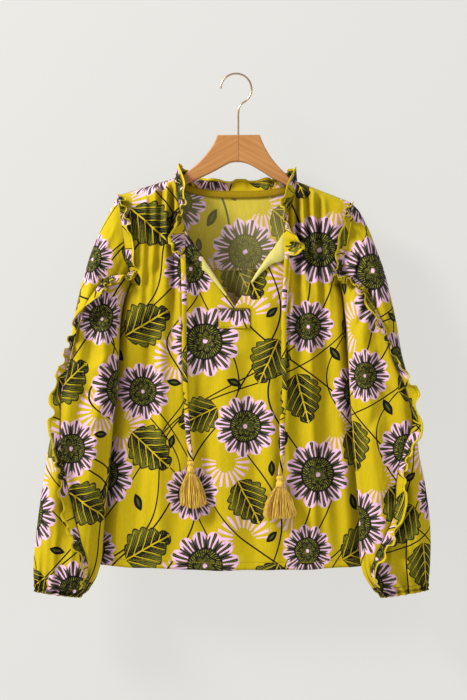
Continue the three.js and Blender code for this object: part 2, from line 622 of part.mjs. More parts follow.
// Ties: routes of the two rouleau cords down the front, from the neck to their tassels
const tieRoutes = {
  left: [
    { x: -88, y: -37, z: -293.3 }, { x: -87, y: -37.5, z: -312 }, { x: -86.5, y: -37, z: -332 },
    { x: -86, y: -36.5, z: -354 }, { x: -86, y: -36.5, z: -378 }, { x: -86, y: -36.5, z: -402 },
    { x: -86, y: -36.5, z: -426 }, { x: -85.5, y: -36.5, z: -450 }, { x: -85, y: -36, z: -474 },
    { x: -84, y: -36, z: -498 }, { x: -83, y: -36, z: -522 }, { x: -82, y: -36, z: -546 },
    { x: -80.5, y: -36, z: -570 }, { x: -78, y: -36.5, z: -596 }, { x: -75.5, y: -37, z: -622 },
  ],
  right: [
    { x: 78, y: -38, z: -294.8 }, { x: 77, y: -38, z: -318 }, { x: 75.5, y: -36.5, z: -340 },
    { x: 74, y: -35, z: -364 }, { x: 73.5, y: -34.5, z: -388 }, { x: 73, y: -34.5, z: -412 },
    { x: 73, y: -34.5, z: -436 }, { x: 73, y: -34.5, z: -460 }, { x: 73.5, y: -34.5, z: -484 },
    { x: 74.5, y: -34.5, z: -510 }, { x: 73, y: -34.5, z: -536 }, { x: 70.5, y: -35, z: -562 },
    { x: 71, y: -35.5, z: -588 }, { x: 70.5, y: -36.5, z: -614 }, { x: 67.5, y: -38, z: -645 },
  ],
};

function makeTie(side) {
  const route = tieRoutes[side].map((p) => new THREE.Vector3(p.x, p.y, p.z));
  const curve = new THREE.CatmullRomCurve3(route);
  const section = new THREE.Shape();
  for (let i = 0; i < 8; i += 1) {
    const turn = (i / 8) * 2 * Math.PI;
    const [x, y] = [(tieDiameter / 2) * Math.cos(turn), (tieDiameter / 2) * Math.sin(turn)];
    if (i === 0) section.moveTo(x, y);
    else section.lineTo(x, y);
  }
  section.closePath();
  return new THREE.ExtrudeGeometry(section, { steps: 22, extrudePath: curve, bevelEnabled: false });
}

// Tassels: a knotted head with a fan of separate strands fused into it
const tassels = {
  left: { x: -75, y: -37, z: -622.4, lean: 4, halfWidth: 21, halfDepth: 6.5, length: 62 },
  right: { x: 67, y: -38, z: -645.4, lean: -1, halfWidth: 27, halfDepth: 6.5, length: 56 },
};
const tasselHead = [
  { radius: 4.6, drop: 0 }, { radius: 6.4, drop: 3 }, { radius: 5.4, drop: 6.5 }, { radius: 4.4, drop: 8.5 },
  { radius: 6, drop: 12 }, { radius: 6.8, drop: 17 }, { radius: 5, drop: 19 },
];

function makeStrand(root, tip, width) {
  const sag = new THREE.Vector3((tip.x - root.x) * 0.6, (tip.y - root.y) * 0.5, (tip.z - root.z) * 0.4);
  const middle = root.clone().add(sag);
  const at = (u, v) => {
    const turn = 2 * Math.PI * u;
    const centre = v < 0.5 ? root.clone().lerp(middle, 2 * v) : middle.clone().lerp(tip, 2 * v - 1);
    const size = width * lerp(0.8, 1, v);
    return centre.add(new THREE.Vector3(size * Math.cos(turn), size * Math.sin(turn), 0));
  };
  const points = [];
  const triangles = [];
  [0, 0.5, 1].forEach((v, j) => {
    for (let i = 0; i < 3; i += 1) {
      points.push(at(i / 3, v));
      if (j > 0) {
        const [a, b] = [3 * (j - 1) + i, 3 * (j - 1) + ((i + 1) % 3)];
        triangles.push([a, b, b + 3], [a, b + 3, a + 3]);
      }
    }
  });
  triangles.push([0, 2, 1], [6, 7, 8]);
  return solidFrom(points, triangles);
}

function makeTassel(side) {
  const size = tassels[side];
  const profile = tasselHead.map((ring) => new THREE.Vector2(ring.radius, -ring.drop));
  const top = new THREE.Vector2(0, 0);
  const bottom = new THREE.Vector2(0, -tasselHead.at(-1).drop);
  const head = new THREE.LatheGeometry([bottom, ...profile.reverse(), top], 14);
  head.rotateX(Math.PI / 2);
  let solid = toSolid(head);
  const rows = [{ count: 9, depth: -1 }, { count: 9, depth: 0 }, { count: 9, depth: 1 }];
  for (const row of rows) {
    for (let i = 0; i < row.count; i += 1) {
      const share = (i + 0.5) / row.count * 2 - 1;
      const stagger = row.depth * 0.35 / row.count;
      const across = share + stagger * 2;
      const root = new THREE.Vector3(across * 4.2, row.depth * 2.6, -16);
      const drop = size.length * (1 - 0.06 * Math.abs(across) + 0.03 * Math.sin(7 * i + 2 * row.depth));
      const tipX = size.lean + across * size.halfWidth;
      const tip = new THREE.Vector3(tipX, row.depth * size.halfDepth, -17 - drop + 4);
      solid = solid.add(toSolid(makeStrand(root, tip, 1)));
    }
  }
  const geometry = fromSolid(solid);
  geometry.translate(size.x, size.y, size.z);
  return geometry;
}

// Hanger: a flat wooden body with two arms, and a wire hook
const woodTop = { left: -34, right: 36, z: -98 };
const armSeat = clothWall + 1.1;
const armReach = { left: -172, right: 164 };

function makeHangerWood() {
  const bevel = 2.5;
  const armTop = (x) => roof(x) - armSeat - bevel;
  const arm = new THREE.Shape();
  arm.moveTo(woodTop.left + bevel, woodTop.z - bevel);
  arm.quadraticCurveTo(-36, -117, -56, -139);
  arm.quadraticCurveTo(-68, -152, -82, -161);
  arm.lineTo(-98, armTop(-98) - 3);
  arm.lineTo(-114, armTop(-114) - 0.8);
  arm.lineTo(armReach.left, armTop(armReach.left));
  arm.quadraticCurveTo(armReach.left - 7, armTop(armReach.left) - 8, armReach.left, armTop(armReach.left) - 14);
  arm.lineTo(-104, armTop(-104) - 15);
  arm.lineTo(-60, -164);
  arm.quadraticCurveTo(-38, -154, -22, -144);
  arm.quadraticCurveTo(-12, -139, -1, -139);
  arm.quadraticCurveTo(12, -139, 20, -143);
  arm.quadraticCurveTo(38, -154, 58, -166);
  arm.lineTo(98, armTop(98) - 15);
  arm.lineTo(armReach.right, armTop(armReach.right) - 14);
  arm.quadraticCurveTo(armReach.right + 7, armTop(armReach.right) - 8, armReach.right, armTop(armReach.right));
  arm.lineTo(108, armTop(108) - 0.8);
  arm.lineTo(91, armTop(91) - 3);
  arm.lineTo(76, -163);
  arm.quadraticCurveTo(66, -154, 53, -137);
  arm.quadraticCurveTo(38, -118, woodTop.right - bevel, woodTop.z - bevel);
  arm.closePath();
  const depth = woodThickness - 2 * bevel;
  const geometry = new THREE.ExtrudeGeometry(arm, {
    depth, bevelEnabled: true, bevelThickness: bevel, bevelSize: bevel, bevelSegments: 2, curveSegments: 5,
  });
  geometry.translate(0, 0, -depth / 2);
  geometry.rotateX(Math.PI / 2);
  return geometry;
}

function makeHook() {
  const wireRadius = wireDiameter / 2;
  const centre = { x: -3, z: wireRadius - hookRadius };
  const points = steps(178, -48, 12).map((angle) => {
    const turn = THREE.MathUtils.degToRad(angle);
    return new THREE.Vector3(centre.x + hookRadius * Math.cos(turn), 0, centre.z + hookRadius * Math.sin(turn));
  });
  const bend = [{ x: 6.5, z: -47 }, { x: 2.4, z: -52.5 }, { x: 0.9, z: -60 }];
  points.push(...bend.map((p) => new THREE.Vector3(p.x, 0, p.z)));
  points.push(new THREE.Vector3(0.7, 0, -78), new THREE.Vector3(0.7, 0, woodTop.z + seamGap));
  const curve = new THREE.CatmullRomCurve3(points);
  const section = new THREE.Shape().absarc(0, 0, wireRadius, 0, 2 * Math.PI);
  return new THREE.ExtrudeGeometry(section, {
    steps: 32, extrudePath: curve, curveSegments: 4, bevelEnabled: false,
  });
}

const blouse = new THREE.Group();

function addPiece(name, geometry, look) {
  const mesh = new THREE.Mesh(geometry, new THREE.MeshStandardMaterial(look));
  mesh.name = name;
  blouse.add(mesh);
}

addPiece('hanger_wood', makeHangerWood(), beech);
addPiece('hanger_hook', makeHook(), goldWire);
addPiece('front', makeFront(), yellow);
addPiece('front_placket', makePlacket(), yellow);
addPiece('back_yoke', makeYoke(), yellow);
addPiece('back', makeBack(), yellow);
addPiece('neck_band', makeNeckBand(), yellow);
addPiece('collar_frill', makeCollarFrill(), yellow);
for (const side of ['left', 'right']) {
  addPiece(`turnback_${side}`, makeTurnback(side), paleYellow);
  addPiece(`sleeve_${side}_outer`, makeSleevePanel(side, 'outer'), yellow);
  addPiece(`sleeve_${side}_inner`, makeSleevePanel(side, 'inner'), yellow);
  addPiece(`ruffle_${side}`, makeRuffle(side), yellow);
  addPiece(`cuff_${side}`, makeCuff(side), yellow);
  addPiece(`tie_${side}`, makeTie(side), yellow);
  addPiece(`tassel_${side}`, makeTassel(side), threadGold);
}

export default blouse;
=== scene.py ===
import math
import random

import bmesh
import bpy
from mathutils import Matrix, Vector, noise


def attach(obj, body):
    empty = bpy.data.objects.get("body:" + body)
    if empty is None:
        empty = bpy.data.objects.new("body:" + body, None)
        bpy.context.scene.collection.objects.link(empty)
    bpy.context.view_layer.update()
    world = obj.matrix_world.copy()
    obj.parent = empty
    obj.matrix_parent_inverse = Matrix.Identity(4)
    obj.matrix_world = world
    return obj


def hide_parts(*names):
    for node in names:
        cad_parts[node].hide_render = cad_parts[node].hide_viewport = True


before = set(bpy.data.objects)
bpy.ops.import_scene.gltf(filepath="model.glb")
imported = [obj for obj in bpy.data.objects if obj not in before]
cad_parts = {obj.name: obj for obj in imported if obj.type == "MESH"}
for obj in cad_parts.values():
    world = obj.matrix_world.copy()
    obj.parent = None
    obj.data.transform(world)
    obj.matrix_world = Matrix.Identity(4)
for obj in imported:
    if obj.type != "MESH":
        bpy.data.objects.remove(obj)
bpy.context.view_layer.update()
random.seed(5)

# Camera: straight on, like the photo; the picture is 1.12 m tall at the cloth
view = {"lens": 85, "place": (-0.0072, -2.674, -0.4456)}
cameraData = bpy.data.cameras.new("camera")
cameraData.lens = view["lens"]
camera = bpy.data.objects.new("camera", cameraData)
camera.location = view["place"]
camera.rotation_euler = (math.radians(90), 0, 0)
bpy.context.scene.collection.objects.link(camera)
bpy.context.scene.camera = camera
print("camera placed")


# Small helpers; the tables of shapes below are in mm, as the part is drawn, and the print in metres
def lerp(a, b, t):
    return a + (b - a) * t


def clamp(x, low=0.0, high=1.0):
    return max(low, min(high, x))


def smooth(x, low, high):
    t = clamp((x - low) / (high - low))
    return t * t * (3 - 2 * t)


def column(rows, name):
    values = [row[name] for row in rows]

    def at(t):
        place = clamp(t) * (len(values) - 1)
        i = min(int(place), len(values) - 2)
        f = place - i
        a, b = values[max(i - 1, 0)], values[i]
        c, d = values[i + 1], values[min(i + 2, len(values) - 1)]
        return b + 0.5 * f * (c - a + f * (2 * a - 5 * b + 4 * c - d + f * (3 * (b - c) + d - a)))
    return at


def table(names, rows):
    keys = names.split()
    return [dict(zip(keys, row)) for row in rows]


def crumple(x, z, seed, size=28.0, stretch=2.2):
    return noise.noise(Vector((x / size, z / (size * stretch), seed)))


# Node helpers
class Nodes:
    def __init__(self, tree):
        self.tree = tree

    def add(self, kind, **settings):
        node = self.tree.nodes.new(kind)
        for name, value in settings.items():
            setattr(node, name, value)
        return node

    def put(self, socket, value):
        if isinstance(value, bpy.types.NodeSocket):
            self.tree.links.new(value, socket)
        elif value is not None:
            socket.default_value = value

    def math(self, operation, a, b=None, c=None):
        node = self.add("ShaderNodeMath", operation=operation)
        for socket, value in zip(node.inputs, (a, b, c)):
            self.put(socket, value)
        return node.outputs[0]

    def times(self, a, b):
        return self.math("MULTIPLY", a, b)

    def timesPlus(self, a, b, c):
        return self.math("MULTIPLY_ADD", a, b, c)

    def vector(self, operation, a, b=None, c=None, scale=None):
        node = self.add("ShaderNodeVectorMath", operation=operation)
        for socket, value in zip(node.inputs, (a, b, c)):
            self.put(socket, value)
        if scale is not None:
            self.put(node.inputs["Scale"], scale)
        return node.outputs["Value"] if operation in ("LENGTH", "DISTANCE") else node.outputs["Vector"]

    def ramp(self, x, low, high):  # 0 below low, 1 above high
        node = self.add("ShaderNodeMapRange", interpolation_type="SMOOTHSTEP")
        self.put(node.inputs["Value"], x)
        node.inputs["From Min"].default_value = low
        node.inputs["From Max"].default_value = high
        return node.outputs["Result"]

    def mix(self, share, a, b):
        node = self.add("ShaderNodeMix", data_type="RGBA")
        self.put(node.inputs["Factor"], share)
        self.put(node.inputs[6], a)
        self.put(node.inputs[7], b)
        return node.outputs[2]

    def pick(self, share, a, b):
        node = self.add("ShaderNodeMix", data_type="VECTOR")
        self.put(node.inputs["Factor"], share)
        self.put(node.inputs[4], a)
        self.put(node.inputs[5], b)
        return node.outputs[1]

    def split(self, vector):
        node = self.add("ShaderNodeSeparateXYZ")
        self.put(node.inputs[0], vector)
        return node.outputs

    def cloud(self, place, scale=1.0, stretch=None, detail=2.0):
        if stretch:
            spread = self.add("ShaderNodeMapping")
            spread.inputs["Scale"].default_value = stretch
            self.put(spread.inputs["Vector"], place)
            place = spread.outputs[0]
        node = self.add("ShaderNodeTexNoise")
        node.inputs["Scale"].default_value = scale
        node.inputs["Detail"].default_value = detail
        self.put(node.inputs["Vector"], place)
        return node.outputs


def newMaterial(name):
    material = bpy.data.materials.new(name)
    material.use_nodes = True
    return material, Nodes(material.node_tree), material.node_tree.nodes["Principled BSDF"]


# Printed cotton: its colours, and its motifs on a square that repeats, in metres
yellow = (0.56, 0.415, 0.003, 1)
pink = (0.84, 0.52, 0.72, 1)
olive = (0.080, 0.088, 0.012, 1)
ink = (0.006, 0.005, 0.004, 1)

repeat = 0.36
blooms = table("x y radius turn", [
    (0.062, 0.075, 0.056, 0.3), (0.214, 0.044, 0.044, 1.4), (0.302, 0.152, 0.051, 2.2),
    (0.132, 0.208, 0.047, 0.9), (0.236, 0.288, 0.058, 4.0), (0.044, 0.312, 0.043, 5.1),
])
leaves = table("x y radius turn", [
    (0.146, 0.114, 0.044, 0.7), (0.340, 0.256, 0.040, 2.0), (0.036, 0.196, 0.042, 1.3),
    (0.142, 0.318, 0.044, -0.5), (0.224, 0.168, 0.036, 2.7), (0.308, 0.030, 0.040, 1.1),
])
ghosts = table("x y radius turn", [
    (0.095, 0.150, 0.042, 0.5), (0.190, 0.260, 0.040, 2.6), (0.300, 0.330, 0.046, 4.4),
    (0.270, 0.095, 0.040, 1.5), (0.020, 0.025, 0.044, 3.4),
])
buds = table("x y radius turn", [
    (0.125, 0.030, 0.015, 1.2), (0.284, 0.222, 0.014, 0.4), (0.004, 0.130, 0.016, 2.0),
    (0.182, 0.128, 0.012, 1.8), (0.090, 0.268, 0.015, 0.9), (0.345, 0.335, 0.013, 2.4),
    (0.345, 0.085, 0.013, 1.5), (0.186, 0.222, 0.013, 0.2),
])


def nearest(n, place, motifs):
    # the offset from the nearest motif, in its own radii and turned its way
    best, offset = None, None
    for motif in motifs:
        away = n.vector("SUBTRACT", place, (motif["x"], motif["y"], 0))
        half = (repeat / 2, repeat / 2, repeat / 2)
        away = n.vector("WRAP", away, half, tuple(-h for h in half))
        turn = n.add("ShaderNodeVectorRotate", rotation_type="Z_AXIS")
        n.put(turn.inputs["Vector"], away)
        turn.inputs["Angle"].default_value = motif["turn"]
        local = n.vector("SCALE", turn.outputs[0], scale=1 / motif["radius"])
        reach = n.vector("LENGTH", local)
        if best is None:
            best, offset = reach, local
        else:
            offset = n.pick(n.math("LESS_THAN", reach, best), offset, local)
            best = n.math("MINIMUM", reach, best)
    return offset


def botanicalPrint():
    tree = bpy.data.node_groups.new("botanicalPrint", "ShaderNodeTree")
    tree.interface.new_socket(name="Place", in_out="INPUT", socket_type="NodeSocketVector")
    tree.interface.new_socket(name="Color", in_out="OUTPUT", socket_type="NodeSocketColor")
    n = Nodes(tree)
    place = n.add("NodeGroupInput").outputs[0]
    shift = n.vector("SUBTRACT", n.cloud(place, 38)["Color"], (0.5, 0.5, 0.5))
    flat = n.vector("MULTIPLY", n.vector("ADD", place, n.vector("SCALE", shift, scale=0.004)), (1, 1, 0))
    sway = n.vector("SUBTRACT", n.cloud(place, 4.4, detail=0)["Color"], (0.5, 0.5, 0.5))
    drift = n.vector("SCALE", sway, scale=0.09)
    grain = n.math("SUBTRACT", n.cloud(place, 260)["Fac"], 0.5)
    axes = n.split(n.vector("ADD", place, drift))

    # ghosts: half fans of pale strokes, under all the rest
    ghost = nearest(n, flat, ghosts)
    axesGhost = n.split(ghost)
    fan = n.math("ARCTAN2", axesGhost["Y"], axesGhost["X"])
    far = n.timesPlus(grain, 0.5, n.vector("LENGTH", ghost))
    strokes = n.ramp(n.math("COSINE", n.times(fan, 21)), 0.05, 0.3)
    within = n.times(n.ramp(far, 0.38, 0.44), n.ramp(far, 1.0, 0.93))
    strokes = n.times(n.times(strokes, within), n.ramp(n.math("COSINE", fan), -0.25, -0.2))
    color = n.mix(strokes, yellow, pink)

    # stems: long bent lines that repeat with the cloth
    stems = table("across bend wave phase slope", [
        (0.02, 0.030, 1, 0.4, 0), (0.10, 0.045, 1, 2.2, 1), (0.19, 0.026, 2, 1.0, 0),
        (0.26, 0.050, 1, 4.1, 0), (0.30, 0.035, 1, 5.0, -1), (0.14, 0.060, 1, 0.2, 0),
        (0.06, 0.018, 1, 3.0, 1), (0.33, 0.022, 1, 1.4, 0),
    ])
    closest = None
    for stem in stems:
        turn = n.timesPlus(axes["Y"], stem["wave"] * 2 * math.pi / repeat, stem["phase"])
        line = n.timesPlus(n.math("SINE", turn), stem["bend"], stem["across"])
        line = n.timesPlus(axes["Y"], stem["slope"], line)
        steep = stem["bend"] * stem["wave"] * 2 * math.pi / repeat
        steep = n.timesPlus(n.math("COSINE", turn), steep, stem["slope"])
        away = n.math("SUBTRACT", axes["X"], line)
        away = n.math("ABSOLUTE", n.math("WRAP", away, repeat / 2, -repeat / 2))
        away = n.math("DIVIDE", away, n.math("SQRT", n.timesPlus(steep, steep, 1)))
        closest = away if closest is None else n.math("MINIMUM", closest, away)
    color = n.mix(n.ramp(closest, 0.0014, 0.0010), color, ink)

    # buds: small dark almonds with a pink heart
    bud = n.vector("ABSOLUTE", nearest(n, flat, buds))
    axesBud = n.split(bud)
    side = n.times(axesBud["Y"], 2.1)
    side = n.timesPlus(axesBud["X"], axesBud["X"], side)
    color = n.mix(n.ramp(side, 1.0, 0.93), color, ink)
    color = n.mix(n.ramp(side, 0.30, 0.24), color, olive)

    # leaves: broad, veined from a midrib, with a wavy edge
    leaf = nearest(n, flat, leaves)
    axesLeaf = n.split(leaf)
    along, across = axesLeaf["X"], n.math("ABSOLUTE", axesLeaf["Y"])
    fullness = n.math("SUBTRACT", 1, n.times(along, along))
    width = n.times(fullness, n.timesPlus(along, -0.30, 0.70))
    lobes = n.math("ABSOLUTE", n.math("SINE", n.times(along, 9.5)))
    lobes = n.times(lobes, n.ramp(fullness, 0, 0.25))
    scallop = n.timesPlus(lobes, 0.13, width)
    inLeaf = n.ramp(n.math("SUBTRACT", across, scallop), 0.02, -0.02)
    rib = n.math("SUBTRACT", n.times(along, 17), n.times(across, 19))
    hatch = n.math("ADD", n.math("SINE", n.times(rib, 4)), n.times(grain, 2))
    hatch = n.ramp(n.timesPlus(across, 3.2, hatch), 1.15, 1.6)
    leafColor = n.mix(hatch, ink, (0.17, 0.165, 0.012, 1))
    inner = n.ramp(n.math("SUBTRACT", across, scallop), -0.09, -0.14)
    leafColor = n.mix(n.times(inner, n.ramp(n.math("SINE", rib), 0.88, 0.96)), leafColor, yellow)
    leafColor = n.mix(n.ramp(n.math("SUBTRACT", across, scallop), -0.07, -0.04), leafColor, ink)
    leafColor = n.mix(n.ramp(across, 0.035, 0.02), leafColor, yellow)
    color = n.mix(inLeaf, color, leafColor)

    # blooms: round petals with dark streaks about a seeded eye
    bloom = nearest(n, flat, blooms)
    axesBloom = n.split(bloom)
    turn = n.math("ARCTAN2", axesBloom["Y"], axesBloom["X"])
    reach = n.timesPlus(grain, 0.10, n.vector("LENGTH", bloom))
    lobe = n.math("ABSOLUTE", n.math("COSINE", n.times(turn, 6)))
    outline = n.timesPlus(n.math("POWER", lobe, 0.45), 0.24, 0.74)
    inBloom = n.ramp(n.math("SUBTRACT", reach, outline), 0.015, -0.015)
    streak = n.math("COSINE", n.times(turn, 36))
    streakEnd = n.timesPlus(n.math("COSINE", n.times(turn, 12)), 0.12, 0.84)
    streakEnd = n.ramp(n.math("SUBTRACT", reach, streakEnd), 0.03, -0.02)
    streaks = n.times(n.ramp(streak, -0.30, -0.12), streakEnd)
    petal = n.mix(streaks, pink, n.mix(n.ramp(streak, 0.6, 0.8), ink, olive))
    petal = n.mix(n.ramp(n.times(lobe, reach), 0.17, 0.11), petal, ink)
    seeds = n.math("SINE", n.math("ADD", n.times(turn, 40), n.times(reach, 30)))
    eye = n.mix(n.ramp(n.timesPlus(grain, 2.5, seeds), -0.1, 0.2), ink, olive)
    eye = n.mix(n.ramp(n.timesPlus(grain, 2.5, seeds), 0.93, 1.0), eye, (0.36, 0.34, 0.02, 1))
    inner = n.math("ABSOLUTE", n.math("COSINE", n.times(turn, 3.5)))
    inner = n.timesPlus(inner, 0.13, 0.20)
    eye = n.mix(n.ramp(n.math("ABSOLUTE", n.math("SUBTRACT", reach, inner)), 0.035, 0.02), eye, ink)
    eye = n.mix(n.ramp(reach, 0.45, 0.48), eye, ink)
    petal = n.mix(n.ramp(reach, 0.53, 0.50), petal, eye)
    petal = n.mix(n.ramp(reach, 0.075, 0.05), petal, pink)
    color = n.mix(inBloom, color, petal)
    n.put(n.add("NodeGroupOutput").inputs[0], color)
    return tree


printTree = botanicalPrint()

# Cotton: threads and slubs a metre, depth of the weave, reach of the painted shade between folds, and its sheen
cotton = {"threads": (900, 110, 1), "slubs": (300, 16, 1), "weaveDepth": 0.0006, "shadeReach": 0.022,
          "roughness": 0.82, "specular": 0.16, "sheen": 0.05, "sheenRoughness": 0.5}


def cloth(name, printed=True, plainEdge=0.0, stitch=0.0, fade=0.0, tint=(1, 1, 1, 1), bump=0.12):
    material, n, shader = newMaterial(name)
    place = n.add("ShaderNodeTexCoord").outputs["UV"]
    color = yellow
    if printed:
        group = n.add("ShaderNodeGroup")
        group.node_tree = printTree
        n.put(group.inputs[0], place)
        color = group.outputs[0]
    edge = n.add("ShaderNodeAttribute", attribute_name="edge").outputs["Fac"]
    if plainEdge:
        color = n.mix(n.ramp(edge, plainEdge * 1.05, plainEdge * 0.95), color, (0.62, 0.48, 0.006, 1))
    if stitch:
        axes = n.split(place)
        dashes = n.ramp(n.math("SINE", n.times(axes["X"], 2100)), -0.7, -0.3)
        line = n.ramp(n.math("ABSOLUTE", n.math("SUBTRACT", edge, stitch)), 0.0009, 0.0005)
        color = n.mix(n.times(n.times(line, dashes), 0.75), color, (0.28, 0.19, 0.004, 1))
    if fade:
        color = n.mix(fade, color, (0.70, 0.64, 0.20, 1))
    weave = n.cloud(place, stretch=cotton["threads"])["Fac"]
    slubs = n.cloud(place, stretch=cotton["slubs"])["Fac"]
    mottleAndPaintedShade = n.timesPlus(slubs, 0.22, n.timesPlus(weave, 0.30, 0.75))
    paintedFoldShade = n.add("ShaderNodeAmbientOcclusion", samples=5)  # painted shade: the colour is darkened between close folds and parts
    paintedFoldShade.inputs["Distance"].default_value = cotton["shadeReach"]
    # painted shade: ambient occlusion multiplied into the weave's mottle, darker where cloth closes in
    mottleAndPaintedShade = n.times(mottleAndPaintedShade, n.timesPlus(paintedFoldShade.outputs["AO"], 0.74, 0.35))
    toned = n.vector("MULTIPLY", color, tint[:3])
    n.put(shader.inputs["Base Color"], n.vector("SCALE", toned, scale=mottleAndPaintedShade))
    bumpNode = n.add("ShaderNodeBump")
    bumpNode.inputs["Strength"].default_value = bump
    bumpNode.inputs["Distance"].default_value = cotton["weaveDepth"]
    n.put(bumpNode.inputs["Height"], weave)
    n.put(shader.inputs["Normal"], bumpNode.outputs[0])
    shader.inputs["Roughness"].default_value = cotton["roughness"]
    shader.inputs["Specular IOR Level"].default_value = cotton["specular"]
    shader.inputs["Sheen Weight"].default_value = cotton["sheen"]
    shader.inputs["Sheen Roughness"].default_value = cotton["sheenRoughness"]
    return material


printed = cloth("printed cotton", stitch=0.0125)
frilled = cloth("printed cotton, hemmed edge", plainEdge=0.0032, stitch=0.0042)
boxed = cloth("printed cotton, stitched box", stitch=0.0022)
plain = cloth("plain cotton", printed=False, stitch=0.0015, tint=(0.66, 0.58, 0.8, 1))
wrongTint = (1.12, 1.14, 1.3, 1)
wrong = cloth("wrong side of the cotton", fade=0.2, tint=wrongTint)
wrongSeam = cloth("wrong side, stitched seam", fade=0.2, tint=wrongTint, plainEdge=0.0012, stitch=0.0035)
paleSide = cloth("wrong side, turned out", printed=False, fade=0.85)
print("cloth materials made")


# shape(u, v) gives x, y, z, flat x, flat y and the way to the hem, in mm
def shapedGrid(columns, rows, shape):
    bm = bmesh.new()
    bmesh.ops.create_grid(bm, x_segments=columns, y_segments=rows, size=0.5)
    uvLayer = bm.loops.layers.uv.new("flat")
    edgeLayer = bm.verts.layers.float.new("edge")
    places = {}
    for vert in bm.verts:
        x, y, z, flatX, flatY, edge = shape(vert.co.x + 0.5, 0.5 - vert.co.y)
        vert.co = Vector((x, y, z)) / 1000
        vert[edgeLayer] = edge / 1000
        places[vert] = (flatX / 1000, flatY / 1000)
    for face in bm.faces:
        face.smooth = True
        for loop in face.loops:
            loop[uvLayer].uv = places[loop.vert]
    return bm


def finishMesh(bm, name, *materials):
    mesh = bpy.data.meshes.new(name)
    bm.to_mesh(mesh)
    bm.free()
    for material in materials:
        mesh.materials.append(material)
    return mesh


def addPiece(name, mesh, nodes):
    piece = bpy.data.objects.new(name, mesh)
    bpy.context.scene.collection.objects.link(piece)
    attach(piece, "root")
    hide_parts(*nodes)
    return piece


def clothPiece(name, surface, counts, materials, nodes, towards=None,
               thickness=0.5, inward=-1, trim=None, welded=False):
    bm = shapedGrid(*counts, surface)
    if trim:
        trim(bm)
    if welded:
        bmesh.ops.remove_doubles(bm, verts=bm.verts, dist=1e-6)
        bmesh.ops.recalc_face_normals(bm, faces=bm.faces)
    bm.normal_update()
    middle = sum((v.co for v in bm.verts), Vector()) / len(bm.verts)
    outward = sum(f.normal.dot(Vector(towards) if towards else f.calc_center_median() - middle) * f.calc_area()
                  for f in bm.faces)
    if outward < 0:
        bmesh.ops.reverse_faces(bm, faces=bm.faces)
    name = "cloth_" + name.replace(" ", "_")
    piece = addPiece(name, finishMesh(bm, name, *materials), nodes)
    shell = piece.modifiers.new("thickness", "SOLIDIFY")
    shell.thickness = thickness / 1000
    shell.offset = inward
    shell.material_offset = len(materials) - 1


# Shoulder line and body, as the part is drawn
roofPeak, roofSlope, roofTilt = -136, 0.35, 0.04
underarmZ, yokeSeamZ = -340, -313
hemZ = {-1: -790, 0: -799, 1: -793}
shoulderX = {-1: -189, 1: 181}
underarmX = {-1: -173, 1: 163}
hemX = {-1: -242, 1: 216}


def roof(x):
    return roofPeak - roofSlope * abs(x) - roofTilt * x


def hem(x):
    side = -1 if x < 0 else 1
    level = lerp(hemZ[0], hemZ[side], (x / hemX[side]) ** 2)
    return level + 0.6 * math.sin(x / 23) + 0.4 * math.sin(x / 11.3 + 1)


def sideX(side, z):
    if z > underarmZ:
        top = roof(shoulderX[side])
        return lerp(underarmX[side], shoulderX[side], (z - underarmZ) / (top - underarmZ))
    drop = (underarmZ - z) / (underarmZ - hemZ[side])
    return lerp(underarmX[side], hemX[side], drop ** 0.61 * smooth(drop, 0, 0.012))


def armholeEdge(x, z, across):
    drop = clamp((roof(x) - z) / (roof(x) - underarmZ))
    edge = 24 * (4 * drop * (1 - drop)) ** 0.425
    return lerp(edge, 24 * smooth(z, -560, -330), smooth(across, 0.05, 0.5)) if drop > 0.5 else edge


def bodyDepth(h):
    inRidge = 1 - clamp(h, 0, 10) / 10
    return 12.5 * math.sqrt(1 - inRidge * inRidge) + 13 * smooth(h, 10, 130)


# Long folds: x at the top and at the hem, half width, depth (ridges over 0), and where they run
foldNames = "top hem width depth start end"
frontFolds = table(foldNames, [
    (-158, -196, 13, 3.5, -215, -830), (-134, -150, 9, -4, -190, -620), (-120, -128, 9, 6, -178, -830),
    (-106, -104, 6, -4.5, -178, -470), (-97, -84, 6, 5, -190, -560), (-66, -48, 12, -3, -330, -830),
    (-30, -12, 14, 4, -420, -830), (8, 22, 13, -4, -440, -830), (40, 58, 12, 3.5, -350, -830),
    (84, 86, 6, 5, -195, -600), (94, 104, 6, -4.5, -185, -500), (110, 124, 8, 6, -180, -830),
    (126, 148, 9, -4, -190, -640), (148, 178, 13, 3.5, -220, -830),
    (-112, -126, 5.5, 8.5, -160, -400), (-121, -138, 4.5, -6, -160, -390), (-131, -158, 6, 7.5, -166, -450),
    (-144, -176, 6, 4.5, -185, -450), (-101, -104, 4, 5.5, -165, -350), (-107, -115, 3.5, -3.5, -165, -340),
    (101, 118, 5, 8.5, -160, -400), (109, 128, 4.5, -6, -160, -390), (119, 146, 6, 7.5, -166, -450),
    (134, 166, 6, 4.5, -185, -440), (90, 94, 4, 5.0, -170, -350), (96, 106, 3.5, -3.2, -170, -340),
    (-52, -88, 7, -1.5, -400, -700), (-18, -34, 8, 1.6, -560, -830), (30, 30, 7, -1.8, -520, -830),
    (64, 92, 7, 1.8, -430, -760), (-82, -120, 8, 2.0, -560, -830), (52, 74, 6, -1.4, -600, -830),
    (96, 150, 8, 1.8, -600, -830), (-110, -168, 9, -2.0, -560, -830), (118, 168, 8, -2.0, -540, -830),
])
